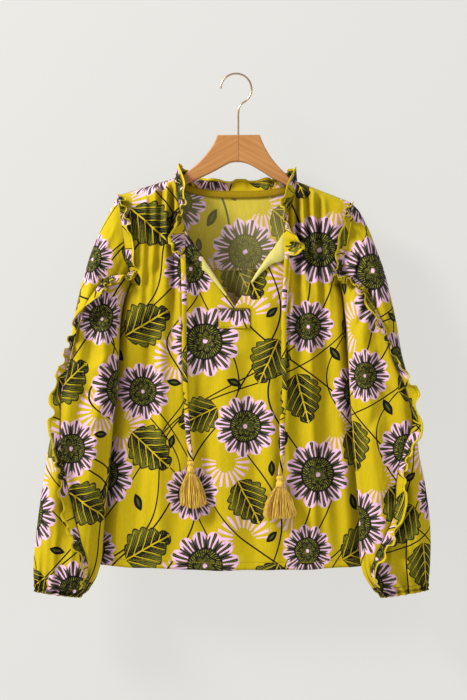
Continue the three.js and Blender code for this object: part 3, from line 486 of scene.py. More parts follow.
backFolds = table(foldNames, [
    (-150, -185, 14, 3, -340, -830), (-96, -126, 14, -3.5, -330, -830), (-62, -78, 11, 4.5, -312, -830),
    (-38, -42, 9, -4, -312, -760), (-14, -8, 10, 4.5, -312, -830), (12, 24, 9, -4, -312, -720),
    (36, 58, 10, 4.5, -312, -830), (66, 98, 13, -3.5, -320, -830), (110, 140, 14, 3, -340, -830),
    (-50, -58, 4, 3.4, -290, -470), (-26, -25, 4, 3.4, -290, -440), (0, 6, 4, 3.6, -290, -480),
    (24, 40, 4, 3.4, -290, -450), (50, 76, 4, 3.2, -290, -470), (-38, -40, 3, 2.6, -290, -400),
    (-13, -10, 3, 2.8, -290, -410), (12, 20, 3, 2.6, -290, -400), (37, 56, 3, 2.6, -290, -410),
    (-74, -100, 5, -2, -312, -520),
    (-124, -160, 9, -2, -520, -830), (84, 118, 8, 2, -500, -830), (130, 172, 9, -2, -560, -830),
])


# Slanting creases: middle, half width, half length, degrees from upright, depth
bodyCreases = table("x z width length slant depth", [
    (-132, -318, 9, 60, 38, -2.4), (-118, -352, 8, 55, 46, 1.8), (126, -322, 9, 58, -36, -2.4),
    (112, -356, 8, 52, -44, 1.8), (-24, -440, 12, 80, 16, -2.0), (38, -470, 12, 84, -14, -2.2),
    (-60, -530, 11, 90, 10, 2.0), (8, -600, 13, 95, -8, 2.2), (86, -560, 11, 80, -18, -2.0),
    (-128, -600, 12, 86, 14, 2.2), (132, -650, 12, 84, -12, 2.2), (-84, -690, 12, 70, 18, -2.0),
    (52, -700, 12, 72, -16, -2.0), (-8, -420, 7, 36, 62, 1.2), (-150, -480, 10, 74, 12, -2.4),
    (150, -490, 10, 72, -14, -2.4),
])


def foldDepth(folds, x, z):
    depth = 0
    for crease in bodyCreases:
        slant = math.radians(crease["slant"])
        right, up = x - crease["x"], z - crease["z"]
        across = (right * math.cos(slant) - up * math.sin(slant)) / crease["width"]
        along = (right * math.sin(slant) + up * math.cos(slant)) / crease["length"]
        if abs(across) < 2.6 and abs(along) < 2:
            depth += crease["depth"] * math.exp(-across * across - along * along)
    share = (z - roofPeak) / (hemZ[0] - roofPeak)
    for fold in folds:
        middle = lerp(fold["top"], fold["hem"], share)
        reach = (x - middle) / fold["width"]
        if abs(reach) < 3 and z < fold["start"]:
            shown = smooth(fold["start"] - z, 0, 30) * smooth(z - fold["end"], 0, 120)
            depth += fold["depth"] * shown * math.exp(-reach * reach)
    return 1.4 * depth


def bodyBase(s, z):  # x and depth before the folds
    side = -1 if s < 0 else 1
    gap = 0.25 if z > underarmZ else 0
    edge = abs(sideX(side, z)) - gap
    x = edge * math.sin(math.pi / 2 * s)
    across = max(math.cos(math.pi / 2 * s), 0)
    inArmhole = smooth(z, underarmZ - 45, underarmZ + 60)
    profile = lerp(across ** 0.75, across * across, inArmhole)
    return x, lerp(armholeEdge(x, z, across), bodyDepth(max(0, roof(x) - z - 0.1)), profile)


def bodyPoint(facing, folds, s, z, rough=0.9):
    x, depth = bodyBase(s, z)
    share = clamp((1 - abs(s)) * 5)
    depth += share * smooth(roof(x) - z, 0, 14) * foldDepth(folds, x, z)
    low = clamp((roof(x) - z - 14) / 60)
    depth = 27 + 6 * math.tanh((depth - 27) / 6) if depth > 27 else depth
    depth += share * low * rough * (crumple(x, z, 3 + facing) + 0.5 * crumple(x, z, 9 + facing, 11, 1.3))
    return x, facing * (0.05 + max(depth, 0)), z


def settle(s, heights, start=underarmZ):
    # height and x depend on each other, so a few turns settle them
    side = -1 if s < 0 else 1
    z, x = start, underarmX[side] * abs(math.sin(math.pi / 2 * s))
    for _ in range(5):
        z = heights(x)
        x = abs(sideX(side, z)) * math.sin(math.pi / 2 * s)
    return z


def bodyFlat(s, z, shift):
    x, depth = bodyBase(s, z)
    return x + math.copysign(0.8 * max(0, 26 - depth), x) + shift, z


neckCut = [(-103, -90), (-103, -170), (-97, -190), (-91, -222), (-88, -247), (-47, -310), (-5, -376),
           (35, -312), (75, -254), (79, -224), (90, -190), (96, -173), (96, -90)]


def cutNeck(bm):
    ring = [Vector((x, 0, z)) / 1000 for x, z in neckCut]
    for a, b in zip(ring[1:-2], ring[2:-1]):
        along = (b - a).normalized()
        near = []
        for face in bm.faces:
            away = face.calc_center_median() - a
            if (-0.012 < away.dot(along) < (b - a).length + 0.012 and abs(away.cross(along).y) < 0.01
                    and face.calc_center_median().z < -0.15):
                near.append(face)
        geometry = list({e for f in near for e in f.edges} | {v for f in near for v in f.verts}) + near
        bmesh.ops.bisect_plane(bm, geom=geometry, plane_co=a, plane_no=along.cross(Vector((0, 1, 0))))

    def inside(p):
        crossings = 0
        for a, b in zip(ring, ring[1:] + ring[:1]):
            if (a.z > p.z) != (b.z > p.z) and p.x < a.x + (p.z - a.z) * (b.x - a.x) / (b.z - a.z):
                crossings += 1
        return crossings % 2
    bmesh.ops.delete(bm, geom=[f for f in bm.faces if inside(f.calc_center_median())], context="FACES")


def frontSurface(u, v):
    s = 2 * u - 1
    v = v * 2
    z = settle(s, lambda x: lerp(roof(x), underarmZ, v ** 1.25) if v < 1 else lerp(underarmZ, hem(x), v - 1))
    point = bodyPoint(-1, frontFolds, s, z)
    if v == 0:
        point = (point[0], -0.05, point[2])  # sewn to the yoke along the shoulder
    return (*point, *bodyFlat(s, z, 290), max(0.2, z - hem(point[0])))


clothPiece("front", frontSurface, (170, 190), (printed, wrong), ["front"],
           towards=(0, -1, 0), trim=cutNeck)

backNeckX = {-1: -103, 1: 96}


def backNeck(x):
    side = -1 if x < 0 else 1
    return lerp(-188, roof(backNeckX[side]), clamp(x / backNeckX[side]) ** 3)


def yokeSurface(u, v):
    s = 2 * u - 1

    def height(x):
        inNeck = backNeckX[-1] < x < backNeckX[1]
        top = min(backNeck(x), roof(x)) if inNeck else roof(x)
        return lerp(top, yokeSeamZ - 3, v ** 1.5)
    z = settle(s, height, yokeSeamZ)
    x, y, z = bodyPoint(1, [], s, z, 0.5)
    if v == 0 and not backNeckX[-1] < x < backNeckX[1]:
        y = 0.05
    point = (x, y + 1.1 * smooth(v, 0.8, 0.97), z)
    return (*point, *bodyFlat(s, z, 410), z - yokeSeamZ + 3)


def backSurface(u, v):
    s = 2 * u - 1
    v = v / 0.15 if v < 0.15 else 1 + (v - 0.15) / 0.85
    z = settle(s, lambda x: lerp(yokeSeamZ - 0.15, underarmZ, v) if v < 1 else lerp(underarmZ, hem(x), v - 1))
    point = bodyPoint(1, backFolds, s, z)
    return (*point, *bodyFlat(s, z, 300), max(0.2, z - hem(point[0])))


clothPiece("back yoke", yokeSurface, (140, 60), (wrongSeam, printed), ["back_yoke"],
           towards=(0, -1, 0))
clothPiece("back", backSurface, (150, 130), (wrong, printed), ["back"],
           towards=(0, -1, 0))


def atX(facing, folds, x, z, lift):
    side = -1 if x < 0 else 1
    reach = clamp(abs(x) / (abs(sideX(side, z)) - (0.25 if z > underarmZ else 0)))
    point = bodyPoint(facing, folds, side * 2 / math.pi * math.asin(reach), z)
    return point[0], point[1] - lift, z


def bandSurface(u, v):
    x = lerp(-90, 84, u)
    z = backNeck(x) - 12 * v + 1.0
    point = atX(1, [], x, z, 1.9 + 0.8 * math.sin(math.pi * v))
    return (*point, x, 12 * v, 12 * min(v, 1 - v) + 0.1)


clothPiece("neck band", bandSurface, (90, 8), (plain, plain), ["neck_band"],
           towards=(0, -1, 0))
print("body made")

turnNames = "foldX foldZ edgeX edgeZ"
turnbacks = {
    -1: table(turnNames, [(-88, -249, -91, -256), (-76, -267, -87, -289), (-61, -290, -68, -311),
                          (-47, -311, -52, -321), (-32, -334, -38, -337), (-17, -358, -20, -359)]),
    1: table(turnNames, [(75, -256, 77, -262), (62, -275, 76, -299), (49, -293, 55, -308),
                         (35, -313, 39, -321), (21, -335, 23, -338)]),
}


def turnbackSurface(side):
    rows = turnbacks[side]
    foldX, foldZ, edgeX, edgeZ = [column(rows, name) for name in turnNames.split()]

    def at(u, v):
        x, z = lerp(foldX(u), edgeX(u), v), lerp(foldZ(u), edgeZ(u), v)
        puff = 2.5 * math.sin(math.pi * v) * math.sin(math.pi * u)
        point = atX(-1, frontFolds, x, z, (2.3 if side < 0 else 3.2) + puff)
        return (*point, x + 296, z + 228, 1000)
    return at


def paleEnd(bm):
    for face in bm.faces:
        face.material_index = 1 if face.calc_center_median().x > -0.058 else 0


clothPiece("turnback left", turnbackSurface(-1), (60, 14), (printed, paleSide, wrong), ["turnback_left"],
           towards=(0, -1, 0), trim=paleEnd)
clothPiece("turnback right", turnbackSurface(1), (60, 14), (paleSide, paleSide), ["turnback_right"],
           towards=(0, -1, 0))


def placketSurface(u, v):
    x, z = lerp(-31, 19, u), lerp(-379, -411, v)
    away = min(50 * min(u, 1 - u), 32 * min(v, 1 - v))
    lift = 1.9 + 0.5 * smooth(away, 0, 2) - 0.5 * math.exp(-((away - 2.2) / 0.8) ** 2)
    point = atX(-1, frontFolds, x, z, lift)
    return (*point, x + 300, z + 150, away + 0.05)


clothPiece("front placket", placketSurface, (64, 40), (boxed, boxed), ["front_placket"],
           towards=(0, -1, 0))
print("neck pieces made")

# Sleeves: inner edge by the body, outer edge, middle depth, half thickness and the ruffle seam's share
sleeveNames = "innerX innerZ outerX outerZ y depth seam"
sleeveTables = {
    -1: table(sleeveNames, [
        (-174.5, -337, -189, -194.6, 0, 24, 0.86), (-175, -343, -201, -209, -1, 25, 0.85),
        (-177, -349, -213, -234, -3, 26, 0.8), (-180, -358, -224, -258, -7, 27, 0.68),
        (-184, -372, -236, -288, -12, 27, 0.52), (-187, -390, -246, -322, -18, 26, 0.36),
        (-189, -412, -256, -362, -24, 25, 0.22), (-190, -440, -264, -405, -28, 24, 0.13),
        (-191, -474, -271, -452, -30, 23, 0.07), (-193, -516, -284, -508, -31, 23, 0.05),
        (-199, -562, -294, -560, -31, 23, 0.13), (-203, -608, -304, -608, -31, 22, 0.24),
        (-207, -654, -311, -655, -31, 22, 0.37), (-212, -702, -318, -701, -31, 21, 0.53),
        (-215, -742, -323, -743, -31, 21, 0.67), (-218, -779, -326.5, -778, -31, 20, 0.79),
        (-226, -808, -327, -804, -31, 18, 0.87), (-238, -828, -326, -819, -31, 14, 0.9)]),
    1: table(sleeveNames, [
        (164.5, -337, 181, -206.6, 0, 24, 0.86), (165, -343, 194, -219, -1, 25, 0.85),
        (166, -349, 204, -236, -3, 26, 0.8), (168, -358, 213, -256, -7, 27, 0.7),
        (170, -372, 223, -284, -12, 27, 0.58), (172, -390, 234, -316, -18, 26, 0.46),
        (174, -414, 245, -361, -24, 25, 0.35), (175, -442, 254, -404, -28, 24, 0.26),
        (177, -474, 262, -453, -30, 23, 0.2), (179, -513, 276, -505, -31, 23, 0.11),
        (182, -559, 285, -558, -31, 23, 0.08), (185, -606, 289, -608, -31, 22, 0.27),
        (189, -655, 298, -654, -31, 22, 0.42), (193, -702, 305, -702, -31, 21, 0.5),
        (194, -742, 308, -743, -31, 21, 0.66), (195, -778, 307.5, -779, -31, 20, 0.81),
        (201, -805, 306, -804, -31, 18, 0.89), (214, -826, 304.5, -818, -31, 14, 0.91)]),
}
# Long sleeve folds: degrees round the section from the outer edge over the front
sleeveFolds = table("angle width depth start end", [
    (52, 16, 3, 0.12, 0.95), (84, 14, -3, 0.2, 0.9), (118, 15, 3.2, 0.3, 1), (146, 13, -2.4, 0.38, 0.92),
    (238, 16, -2.6, 0.35, 0.95), (272, 16, 3, 0.18, 1), (312, 15, -2.6, 0.2, 0.9),
    (68, 5, 1.6, 0.74, 1.1), (98, 5, 1.8, 0.76, 1.1), (130, 5, 1.6, 0.72, 1.1), (156, 5, 1.4, 0.78, 1.1),
    (36, 5, 1.4, 0.76, 1.1), (110, 6, -1.4, 0.04, 0.3), (60, 6, 1.4, 0.02, 0.26), (84, 5, 1.2, 0.02, 0.2),
])
# Slanting creases, each a soft trough or ridge: degrees, share of the length, sizes, slant, depth
sleeveCreases = table("angle v wide tall slant depth", [
    (96, 0.20, 30, 0.016, 0.0011, -2.6), (70, 0.27, 26, 0.014, -0.0008, 2.0),
    (104, 0.34, 34, 0.018, 0.0010, -2.4), (62, 0.41, 24, 0.014, -0.0012, -2.0),
    (112, 0.47, 28, 0.016, 0.0008, 2.4), (84, 0.53, 36, 0.014, -0.0009, -2.6),
    (120, 0.60, 22, 0.016, 0.0013, -1.8), (58, 0.66, 26, 0.018, -0.0007, 2.0),
    (96, 0.74, 30, 0.015, 0.0009, -2.0), (250, 0.30, 30, 0.016, 0.0010, -2.2),
    (280, 0.44, 26, 0.016, -0.0010, 2.0), (262, 0.58, 34, 0.018, 0.0009, -2.2),
])


def gathers(angle):
    uneven = 1 + 0.35 * math.sin(3 * angle + 1) + 0.2 * math.sin(5 * angle)
    return 1.7 * uneven * math.sin(21 * angle + math.sin(2 * angle))


class Sleeve:
    def __init__(self, side):
        self.side = side
        self.at = {name: column(sleeveTables[side], name) for name in sleeveNames.split()}

    def seam(self, v):
        return math.acos(1 - 2 * self.at["seam"](v))

    def point(self, angle, v, finer=True):
        c, s = math.cos(angle), math.sin(angle)
        degrees = math.degrees(angle) % 360
        swell = 0
        for fold in sleeveFolds if finer else sleeveFolds[:7]:
            shown = smooth(v, fold["start"], fold["start"] + 0.12) * smooth(fold["end"] - v, 0, 0.12)
            reach = (degrees - fold["angle"]) / fold["width"]
            swell += (1.9 if finer else 1) * fold["depth"] * shown * math.exp(-reach ** 2)
        if finer:
            for crease in sleeveCreases:
                turned = degrees - crease["angle"]
                across = turned / crease["wide"]
                down = (v - crease["v"] - crease["slant"] * turned * self.side) / crease["tall"]
                if abs(across) < 3 and abs(down) < 3:
                    swell += 2.6 * crease["depth"] * math.exp(-across * across - down * down)
            swell += 1.7 * gathers(angle) * smooth(v, 0.86 + 0.06 * math.sin(5 * angle), 1)
            swell += 1.3 * math.sin(13 * angle + 1.2 * math.sin(3 * angle)) * smooth(v, 0.78, 0.99)
            rough = 1.1 * noise.noise(Vector((2.6 * c, 2.6 * s + 5 * self.side, v * 9)))
            rough += 0.7 * noise.noise(Vector((7 * c, 7 * s, v * 30)))
            swell += smooth(v, 0.03, 0.12) * rough
        tuck = self.side * (3.5 if finer else 0) * (1 - smooth(v, 0, 0.22))
        inner = (self.at["innerX"](v) - tuck, self.at["innerZ"](v))
        outer = (self.at["outerX"](v), self.at["outerZ"](v))
        share = (1 + c) / 2
        around = math.copysign(abs(s) ** 0.85, s)
        y = self.at["y"](v) - around * (self.at["depth"](v) + swell)
        return Vector((lerp(inner[0], outer[0], share), y, lerp(inner[1], outer[1], share)))

    def flat(self, angle, v, point):
        depth = self.at["depth"](v)
        turned = 0.8 * depth * (1 - abs(math.sin(angle)) ** 0.85)
        outerSide = smooth((1 + math.cos(angle)) / 2, 0.4, 0.6)
        edge = self.side * ((254 if self.side < 0 else 241) + 0.18 * (-point.z - 288))
        x = point.x + self.side * turned * (2 * outerSide - 1)
        if math.sin(angle) < 0:
            x = 2 * edge - x
        tilt = 0.16 * self.side
        return x * math.cos(tilt) - point.z * math.sin(tilt), x * math.sin(tilt) + point.z * math.cos(tilt)


sleeves = {-1: Sleeve(-1), 1: Sleeve(1)}
underarmSeam = math.radians(205)


def sleeveSurface(side, panel):
    sleeve = sleeves[side]

    def at(u, v):
        v = lerp(0.0012, 1, v)
        seam = sleeve.seam(v)
        start, end = (seam + 0.006, underarmSeam - 0.006) if panel == "inner" else \
            (underarmSeam + 0.006, 2 * math.pi + seam - 0.006)
        angle = lerp(start, end, u)
        point = sleeve.point(angle, v)
        tuck = 1.3 * math.exp(-((angle - start) / 0.05) ** 2) + 1.3 * math.exp(-((end - angle) / 0.05) ** 2)
        point.y += math.copysign(tuck, math.sin(angle)) * 0.6
        point.x += side * 0.25 * (1 - smooth(v, 0, 0.1))
        x, z = sleeve.flat(angle, v, point)
        shift = {"inner": (130, 40), "outer": (330, 210)}[panel]
        return (*point, x + shift[0], z + shift[1], 1000)
    return at


for side, name in ((-1, "left"), (1, "right")):
    for panel, columns, flat, area in (("outer", 100, (0.22, 0.64), 0.092), ("inner", 62, (0.14, 0.52), 0.044)):
        clothPiece(f"sleeve {name} {panel}", sleeveSurface(side, panel), (columns, 200), (printed, wrong),
                   [f"sleeve_{name}_{panel}"])
print("sleeves made")

cuffs = {-1: {"innerX": -252, "innerZ": -840.5, "outerX": -325, "outerZ": -831, "depth": 11},
         1: {"innerX": 229, "innerZ": -841, "outerX": 304, "outerZ": -828.5, "depth": 11}}


def cuffSurface(side):
    sleeve, top, end = sleeves[side], sleeveTables[side][-1], cuffs[side]

    def at(u, v):
        angle = 2 * math.pi * u
        draw = smooth(v, 0, 0.7) * (1 - 0.35 * smooth(v, 0.8, 1))
        wave = 1.7 * gathers(angle) + 1.3 * math.sin(13 * angle + 1.2 * math.sin(3 * angle))
        pinch = -3.0 * math.exp(-((v - 0.62) / 0.13) ** 2)
        flare = 3.0 * smooth(v, 0.72, 1)
        share = (1 + math.cos(angle)) / 2
        reach = (share - 0.5) * (1 + (0.4 * wave + 0.6 * flare + pinch) / 90)
        x, z = [lerp(lerp(top["inner" + axis], end["inner" + axis], v),
                     lerp(top["outer" + axis], end["outer" + axis], v), 0.5 + reach) for axis in "XZ"]
        z -= 0.5
        around = math.copysign(abs(math.sin(angle)) ** 0.85, math.sin(angle))
        y = top["y"] - around * (lerp(top["depth"], end["depth"], draw) + wave + pinch + 0.5 * flare)
        flatX, flatZ = sleeve.flat(angle, 1, Vector((x, y, z)))
        inOuter = angle > underarmSeam or angle < sleeve.seam(1)
        shift = (330, 210) if inOuter else (130, 40)
        return x, y, z, flatX + shift[0], flatZ + shift[1], (1 - v) * 18 + 2.9
    return at


for side, name in ((-1, "left"), (1, "right")):
    clothPiece(f"cuff {name}", cuffSurface(side), (252, 26), (frilled, wrong), [f"cuff_{name}"],
               welded=True)


def flute(phase, ripple):
    return math.sin(2 * math.pi * phase) + ripple * math.sin(4.74 * math.pi * phase + 1.3)


# Sleeve ruffles: they leave the shoulder, follow the front of the armhole, then the panel seam
fluting = {"top": 14, "more": 15, "wave": 4.8, "ripple": 0.12, "curl": 1.2, "slide": -1.5}
ruffleRows = table("lean height", [(-40, 9), (-34, 15), (-8, 13), (-35, 12), (-48, 11), (-20, 11),
                                   (30, 13), (44, 15), (46, 15), (46, 14)])


def ruffleSurface(side):
    sleeve = sleeves[side]
    lean, height = column(ruffleRows, "lean"), column(ruffleRows, "height")

    def spot(t):
        if t < 0.22:
            return lerp(0.16, sleeve.seam(0.0012), t / 0.22), 0.02
        v = lerp(0.02, 0.985, (t - 0.22) / 0.78)
        return sleeve.seam(v), v

    def base(t):
        return sleeve.point(*spot(clamp(t)), False)

    def at(t, h):
        angle, v = spot(t)
        around = sleeve.point(angle + 1e-3, v, False) - sleeve.point(angle - 1e-3, v, False)
        along = sleeve.point(angle, v + 1e-3, False) - sleeve.point(angle, v - 1e-3, False)
        normal = around.cross(along).normalized() * side
        path = (base(t + 0.005) - base(t - 0.005)).normalized()
        across = path.cross(normal).normalized() * -side
        turn = math.radians(lean(t))
        phase = fluting["top"] * t + fluting["more"] * max(0, t - 0.2)
        phase += 0.6 * math.sin(9.3 * t + side) + 1.5 * noise.noise(Vector((t * 12, 6, side)))
        uneven = clamp(0.9 + 1.5 * noise.noise(Vector((t * 16, 3, side))), 0.2, 1.5)
        wave = fluting["wave"] * uneven * h ** 0.9 * flute(phase, fluting["ripple"])
        curl = fluting["curl"] * h * h * math.cos(4 * math.pi * phase)
        tall = height(t) * (1.22 + 0.22 * noise.noise(Vector((t * 17, 8, side))))
        tall *= 0.3 + 0.7 * smooth(t, 0, 0.035)
        wave *= smooth(t, 0, 0.03) * smooth(1 - t, 0, 0.03)
        rise = 1.6 + math.cos(turn) * tall * h + abs(math.sin(turn)) * (wave + 2.2 * h) + curl * math.cos(turn)
        shift = math.sin(turn) * tall * h + math.cos(turn) * wave
        lengthways = fluting["slide"] * h * math.sin(4 * math.pi * phase)
        point = base(t) + normal * max(rise, 1.2) + across * shift + path * lengthways
        return (*point, t * 1050, h * 17 + (52 if side < 0 else 282), (1 - h) * 16 + 0.1)
    return at


for side, name in ((-1, "left"), (1, "right")):
    clothPiece(f"ruffle {name}", ruffleSurface(side), (620, 10), (frilled, frilled), [f"ruffle_{name}"],
               towards=(0, -1, 0), thickness=0.6, inward=0)
print("cuffs and ruffles made")

# Neck frill: its flutes, where it is sewn on, and where its free edge stands
frill = {"flutes": 17, "wave": 3.6, "ripple": 0.1, "slide": -1.9, "sewnIn": -0.14, "tall": 1.12}
frillNames = "x y z edgeX edgeY edgeZ"
frillRows = table(frillNames, [
    (-86, -33, -292, -95, -42, -293), (-87, -32, -272, -105, -42, -281), (-88, -31, -256, -107, -41, -260),
    (-89, -28, -240, -98, -44, -246), (-92, -25, -222, -91, -44, -225), (-95, -22, -205, -86, -37, -206),
    (-98, -17, -188, -87, -28, -177), (-102, -6, -168, -97, -10, -148), (-99, 10, -167, -90, 16, -150),
    (-76, 16, -178, -74, 23, -161), (-40, 17, -186, -40, 25, -169), (0, 17, -187, 0, 26, -170),
    (40, 17, -186, 40, 25, -169), (70, 16, -180, 68, 23, -163), (91, 10, -171, 87, 16, -154),
    (95, -9, -170, 94, -12, -153), (90, -21, -190, 78, -28, -185), (86, -22, -207, 72, -36, -213),
    (80, -26, -226, 74, -44, -234), (77, -29, -244, 80, -47, -252), (76, -31, -262, 94, -43, -268),
    (76, -33, -280, 102, -42, -285), (76, -34, -294, 86, -43, -295),
])

frillAt = [column(frillRows, name) for name in frillNames.split()]


def frillSurface(t, h):
    foot, edge = Vector([f(t) for f in frillAt[:3]]), Vector([f(t) for f in frillAt[3:]])
    foot = foot.lerp(edge, frill["sewnIn"])
    along = Vector([f(t + 0.004) - f(t - 0.004) for f in frillAt[:3]])
    sway = along.cross(edge - foot).normalized()
    phase = frill["flutes"] * t + 0.5 * math.sin(11 * t) + 0.9 * noise.noise(Vector((t * 10, 7, 2)))
    uneven = clamp(1 + 0.9 * noise.noise(Vector((t * 14, 1, 5))), 0.4, 1.6)
    calm = 1 - 0.7 * math.exp(-((t - 0.32) / 0.04) ** 2) - 0.6 * math.exp(-((t - 0.68) / 0.04) ** 2)
    wave = frill["wave"] * calm * uneven * h ** 0.9 * flute(phase, frill["ripple"])
    slide = frill["slide"] * calm * h * math.sin(4 * math.pi * phase)
    tall = h * (frill["tall"] + 0.08 * noise.noise(Vector((t * 20, 4, 2))))
    point = foot.lerp(edge, tall) + sway * wave + along.normalized() * slide
    return (*point, t * 900, h * 20 + 276, (1 - h) * 19 + 0.1)


clothPiece("collar frill", frillSurface, (560, 12), (frilled, frilled), ["collar_frill"],
           towards=(0, -1, 0), thickness=0.7, inward=0)
print("neck frill made")

# Ties: two flat rouleau cords that hang down the front
tieShape = {"wide": 4.2, "thin": 2.6, "twist": 0.5, "around": 16, "rows": 150}
tieRoutes = {
    -1: [(-88, -37, -293.3), (-87, -37.5, -312), (-86.5, -37, -332), (-86, -36.5, -354), (-86, -36.5, -378),
         (-86, -36.5, -402), (-86, -36.5, -426), (-85.5, -36.5, -450), (-85, -36, -474), (-84, -36, -498),
         (-83, -36, -522), (-82, -36, -546), (-80.5, -36, -570), (-78, -36.5, -596), (-75.5, -37, -622)],
    1: [(78, -38, -294.8), (77, -38, -318), (75.5, -36.5, -340), (74, -35, -364), (73.5, -34.5, -388),
        (73, -34.5, -412), (73, -34.5, -436), (73, -34.5, -460), (73.5, -34.5, -484), (74.5, -34.5, -510),
        (73, -34.5, -536), (70.5, -35, -562), (71, -35.5, -588), (70.5, -36.5, -614), (67.5, -38, -645)],
}


# section(angle, t) gives across and forward, in mm
def makeTie(name, side, section):
    at = [column(table("x y z", tieRoutes[side]), axis) for axis in "xyz"]

    def shape(u, t):
        across, forward = section(2 * math.pi * u, t)
        return at[0](t) + across, at[1](t) + forward, at[2](t), u * 20, t * 360, 20
    bm = shapedGrid(tieShape["around"], tieShape["rows"], shape)
    bmesh.ops.remove_doubles(bm, verts=bm.verts, dist=1e-7)
    bmesh.ops.holes_fill(bm, edges=bm.edges, sides=tieShape["around"] + 1)
    bmesh.ops.recalc_face_normals(bm, faces=bm.faces)
    tie = addPiece(f"cord_{name}", finishMesh(bm, f"cord_{name}", printed), [f"tie_{name}"])
    path = [[f(k / 120) / 1000 for f in at] for k in range(121)]
    return tie, path


# Tassels: a wound head and a skirt of threads
threadMaterial, n, shader = newMaterial("thread")
streaks = n.cloud(n.add("ShaderNodeTexCoord").outputs["Object"], stretch=(420, 420, 60))["Fac"]
threadColor = n.mix(n.ramp(streaks, 0.3, 0.7), (0.62, 0.31, 0.015, 1), (0.98, 0.70, 0.07, 1))
n.put(shader.inputs["Base Color"], threadColor)
shader.inputs["Roughness"].default_value = 0.6
shader.inputs["Sheen Weight"].default_value = 0.3

tassels = {
    -1: {"x": -75, "y": -37, "z": -622.4, "lean": 4, "halfWidth": 21, "halfDepth": 6.5, "length": 62},
    1: {"x": 67, "y": -38, "z": -645.4, "lean": -1, "halfWidth": 27, "halfDepth": 6.5, "length": 56},
}
tasselThread = {"strands": 118, "thinEnd": 0.42, "thickEnd": 0.62}  # radii at the head and at the tip
headProfile = [(0.2, 0), (3.2, -0.4), (4.8, -1.6), (6.2, -3), (6.3, -4.4), (5.4, -6.2), (4.3, -7.8),
               (4.6, -9.2), (5.8, -11), (6.6, -14), (6.7, -16.6), (5, -19), (0.2, -19.4)]


def makeTassel(side, name):
    size = tassels[side]
    top = Vector((size["x"], size["y"], size["z"]))
    bm = bmesh.new()
    previous = None
    for radius, drop in headProfile:
        vert = bm.verts.new(Vector((radius, 0, drop)) / 1000)
        if previous:
            bm.edges.new((previous, vert))
        previous = vert
    bmesh.ops.spin(bm, geom=bm.verts[:] + bm.edges[:], cent=(0, 0, 0), axis=(0, 0, 1),
                   angle=2 * math.pi, steps=40, use_merge=True)
    bmesh.ops.remove_doubles(bm, verts=bm.verts, dist=1e-6)
    for vert in bm.verts:  # the winding thread
        ring = math.hypot(vert.co.x, vert.co.y)
        if ring > 0.003:
            turn = math.atan2(vert.co.y, vert.co.x)
            swell = 1 + 0.035 * math.sin(12 * turn) + 0.03 * math.sin(vert.co.z * 5200 + turn)
            vert.co.x, vert.co.y = vert.co.x * swell, vert.co.y * swell
    for i in range(tasselThread["strands"]):
        share = (i + 0.5) / tasselThread["strands"] * 2 - 1
        layer = random.uniform(-1, 1)
        spread = share * size["halfWidth"] * random.uniform(0.9, 1.04)
        drop = size["length"] * (1 - 0.10 * abs(share) ** 2 + random.uniform(-0.04, 0.03)) - 4
        root = Vector((share * 4.4, layer * 3.2, -15.5))
        tip = Vector((size["lean"] + spread, layer * size["halfDepth"], -17 - drop))
        bend = Vector((spread * random.uniform(0.1, 0.26), layer * 1.5, 0))
        kink, phase = random.uniform(-1.3, 1.3), random.uniform(0, 6)
        strand = bmesh.ops.create_grid(bm, x_segments=4, y_segments=11, size=0.5)["verts"]
        for vert in strand:
            u, t = vert.co.x + 0.5, 0.5 - vert.co.y
            curl = Vector((kink * math.sin(9 * t + phase) * t, 0.5 * kink * math.cos(11 * t) * t, 0))
            centre = root.lerp(tip, t) + bend * math.sin(math.pi * t) + curl
            width = lerp(tasselThread["thinEnd"], tasselThread["thickEnd"], t)
            turn = 2 * math.pi * u
            vert.co = (centre + Vector((width * math.cos(turn), width * math.sin(turn), 0))) / 1000
    bmesh.ops.remove_doubles(bm, verts=bm.verts, dist=1e-7)
    bmesh.ops.recalc_face_normals(bm, faces=bm.faces)
    bmesh.ops.translate(bm, verts=bm.verts, vec=top / 1000)
    for face in bm.faces:
        face.smooth = True
    mesh = finishMesh(bm, f"tassel {name}", threadMaterial)
    return addPiece(f"threads_{name}", mesh, [f"tassel_{name}"])


for side, name in ((-1, "left"), (1, "right")):
    tassel = makeTassel(side, name)

    def section(angle, t):
        turn = tieShape["twist"] * math.sin(7 * t + side)
        wide, thin = tieShape["wide"] + 0.25 * math.sin(40 * t), tieShape["thin"]
        a, b = wide * math.cos(angle), thin * math.sin(angle)
        return a * math.cos(turn) - b * math.sin(turn), a * math.sin(turn) + b * math.cos(turn)
    tie, path = makeTie(name, side, section)
print("ties and tassels made")

# Hanger: half the flat and the round of the wood's edge, and the wire, in metres
hangerSize = {"halfFlat": 0.0035, "round": 0.0025, "wireRadius": 0.0016}
wood, n, shader = newMaterial("honey beech")
axes = n.split(n.add("ShaderNodeTexCoord").outputs["Object"])
side = n.math("SIGN", axes["X"])
slope = n.timesPlus(n.math("ABSOLUTE", axes["X"]), 0.55, axes["Z"])
lined = n.add("ShaderNodeCombineXYZ")
n.put(lined.inputs[0], n.times(slope, 130))
n.put(lined.inputs[1], n.times(axes["X"], 9))
n.put(lined.inputs[2], side)
grain = n.cloud(lined.outputs[0], 1.5, detail=6)["Fac"]
color = n.mix(n.ramp(grain, 0.3, 0.75), (0.50, 0.21, 0.060, 1), (0.62, 0.30, 0.10, 1))
joint = n.ramp(n.math("ABSOLUTE", n.math("ADD", axes["X"], -0.001)), 0.0007, 0.0002)
color = n.mix(n.times(joint, 0.75), color, (0.16, 0.06, 0.02, 1))
n.put(shader.inputs["Base Color"], color)
shader.inputs["Roughness"].default_value = 0.46
shader.inputs["Specular IOR Level"].default_value = 0.3

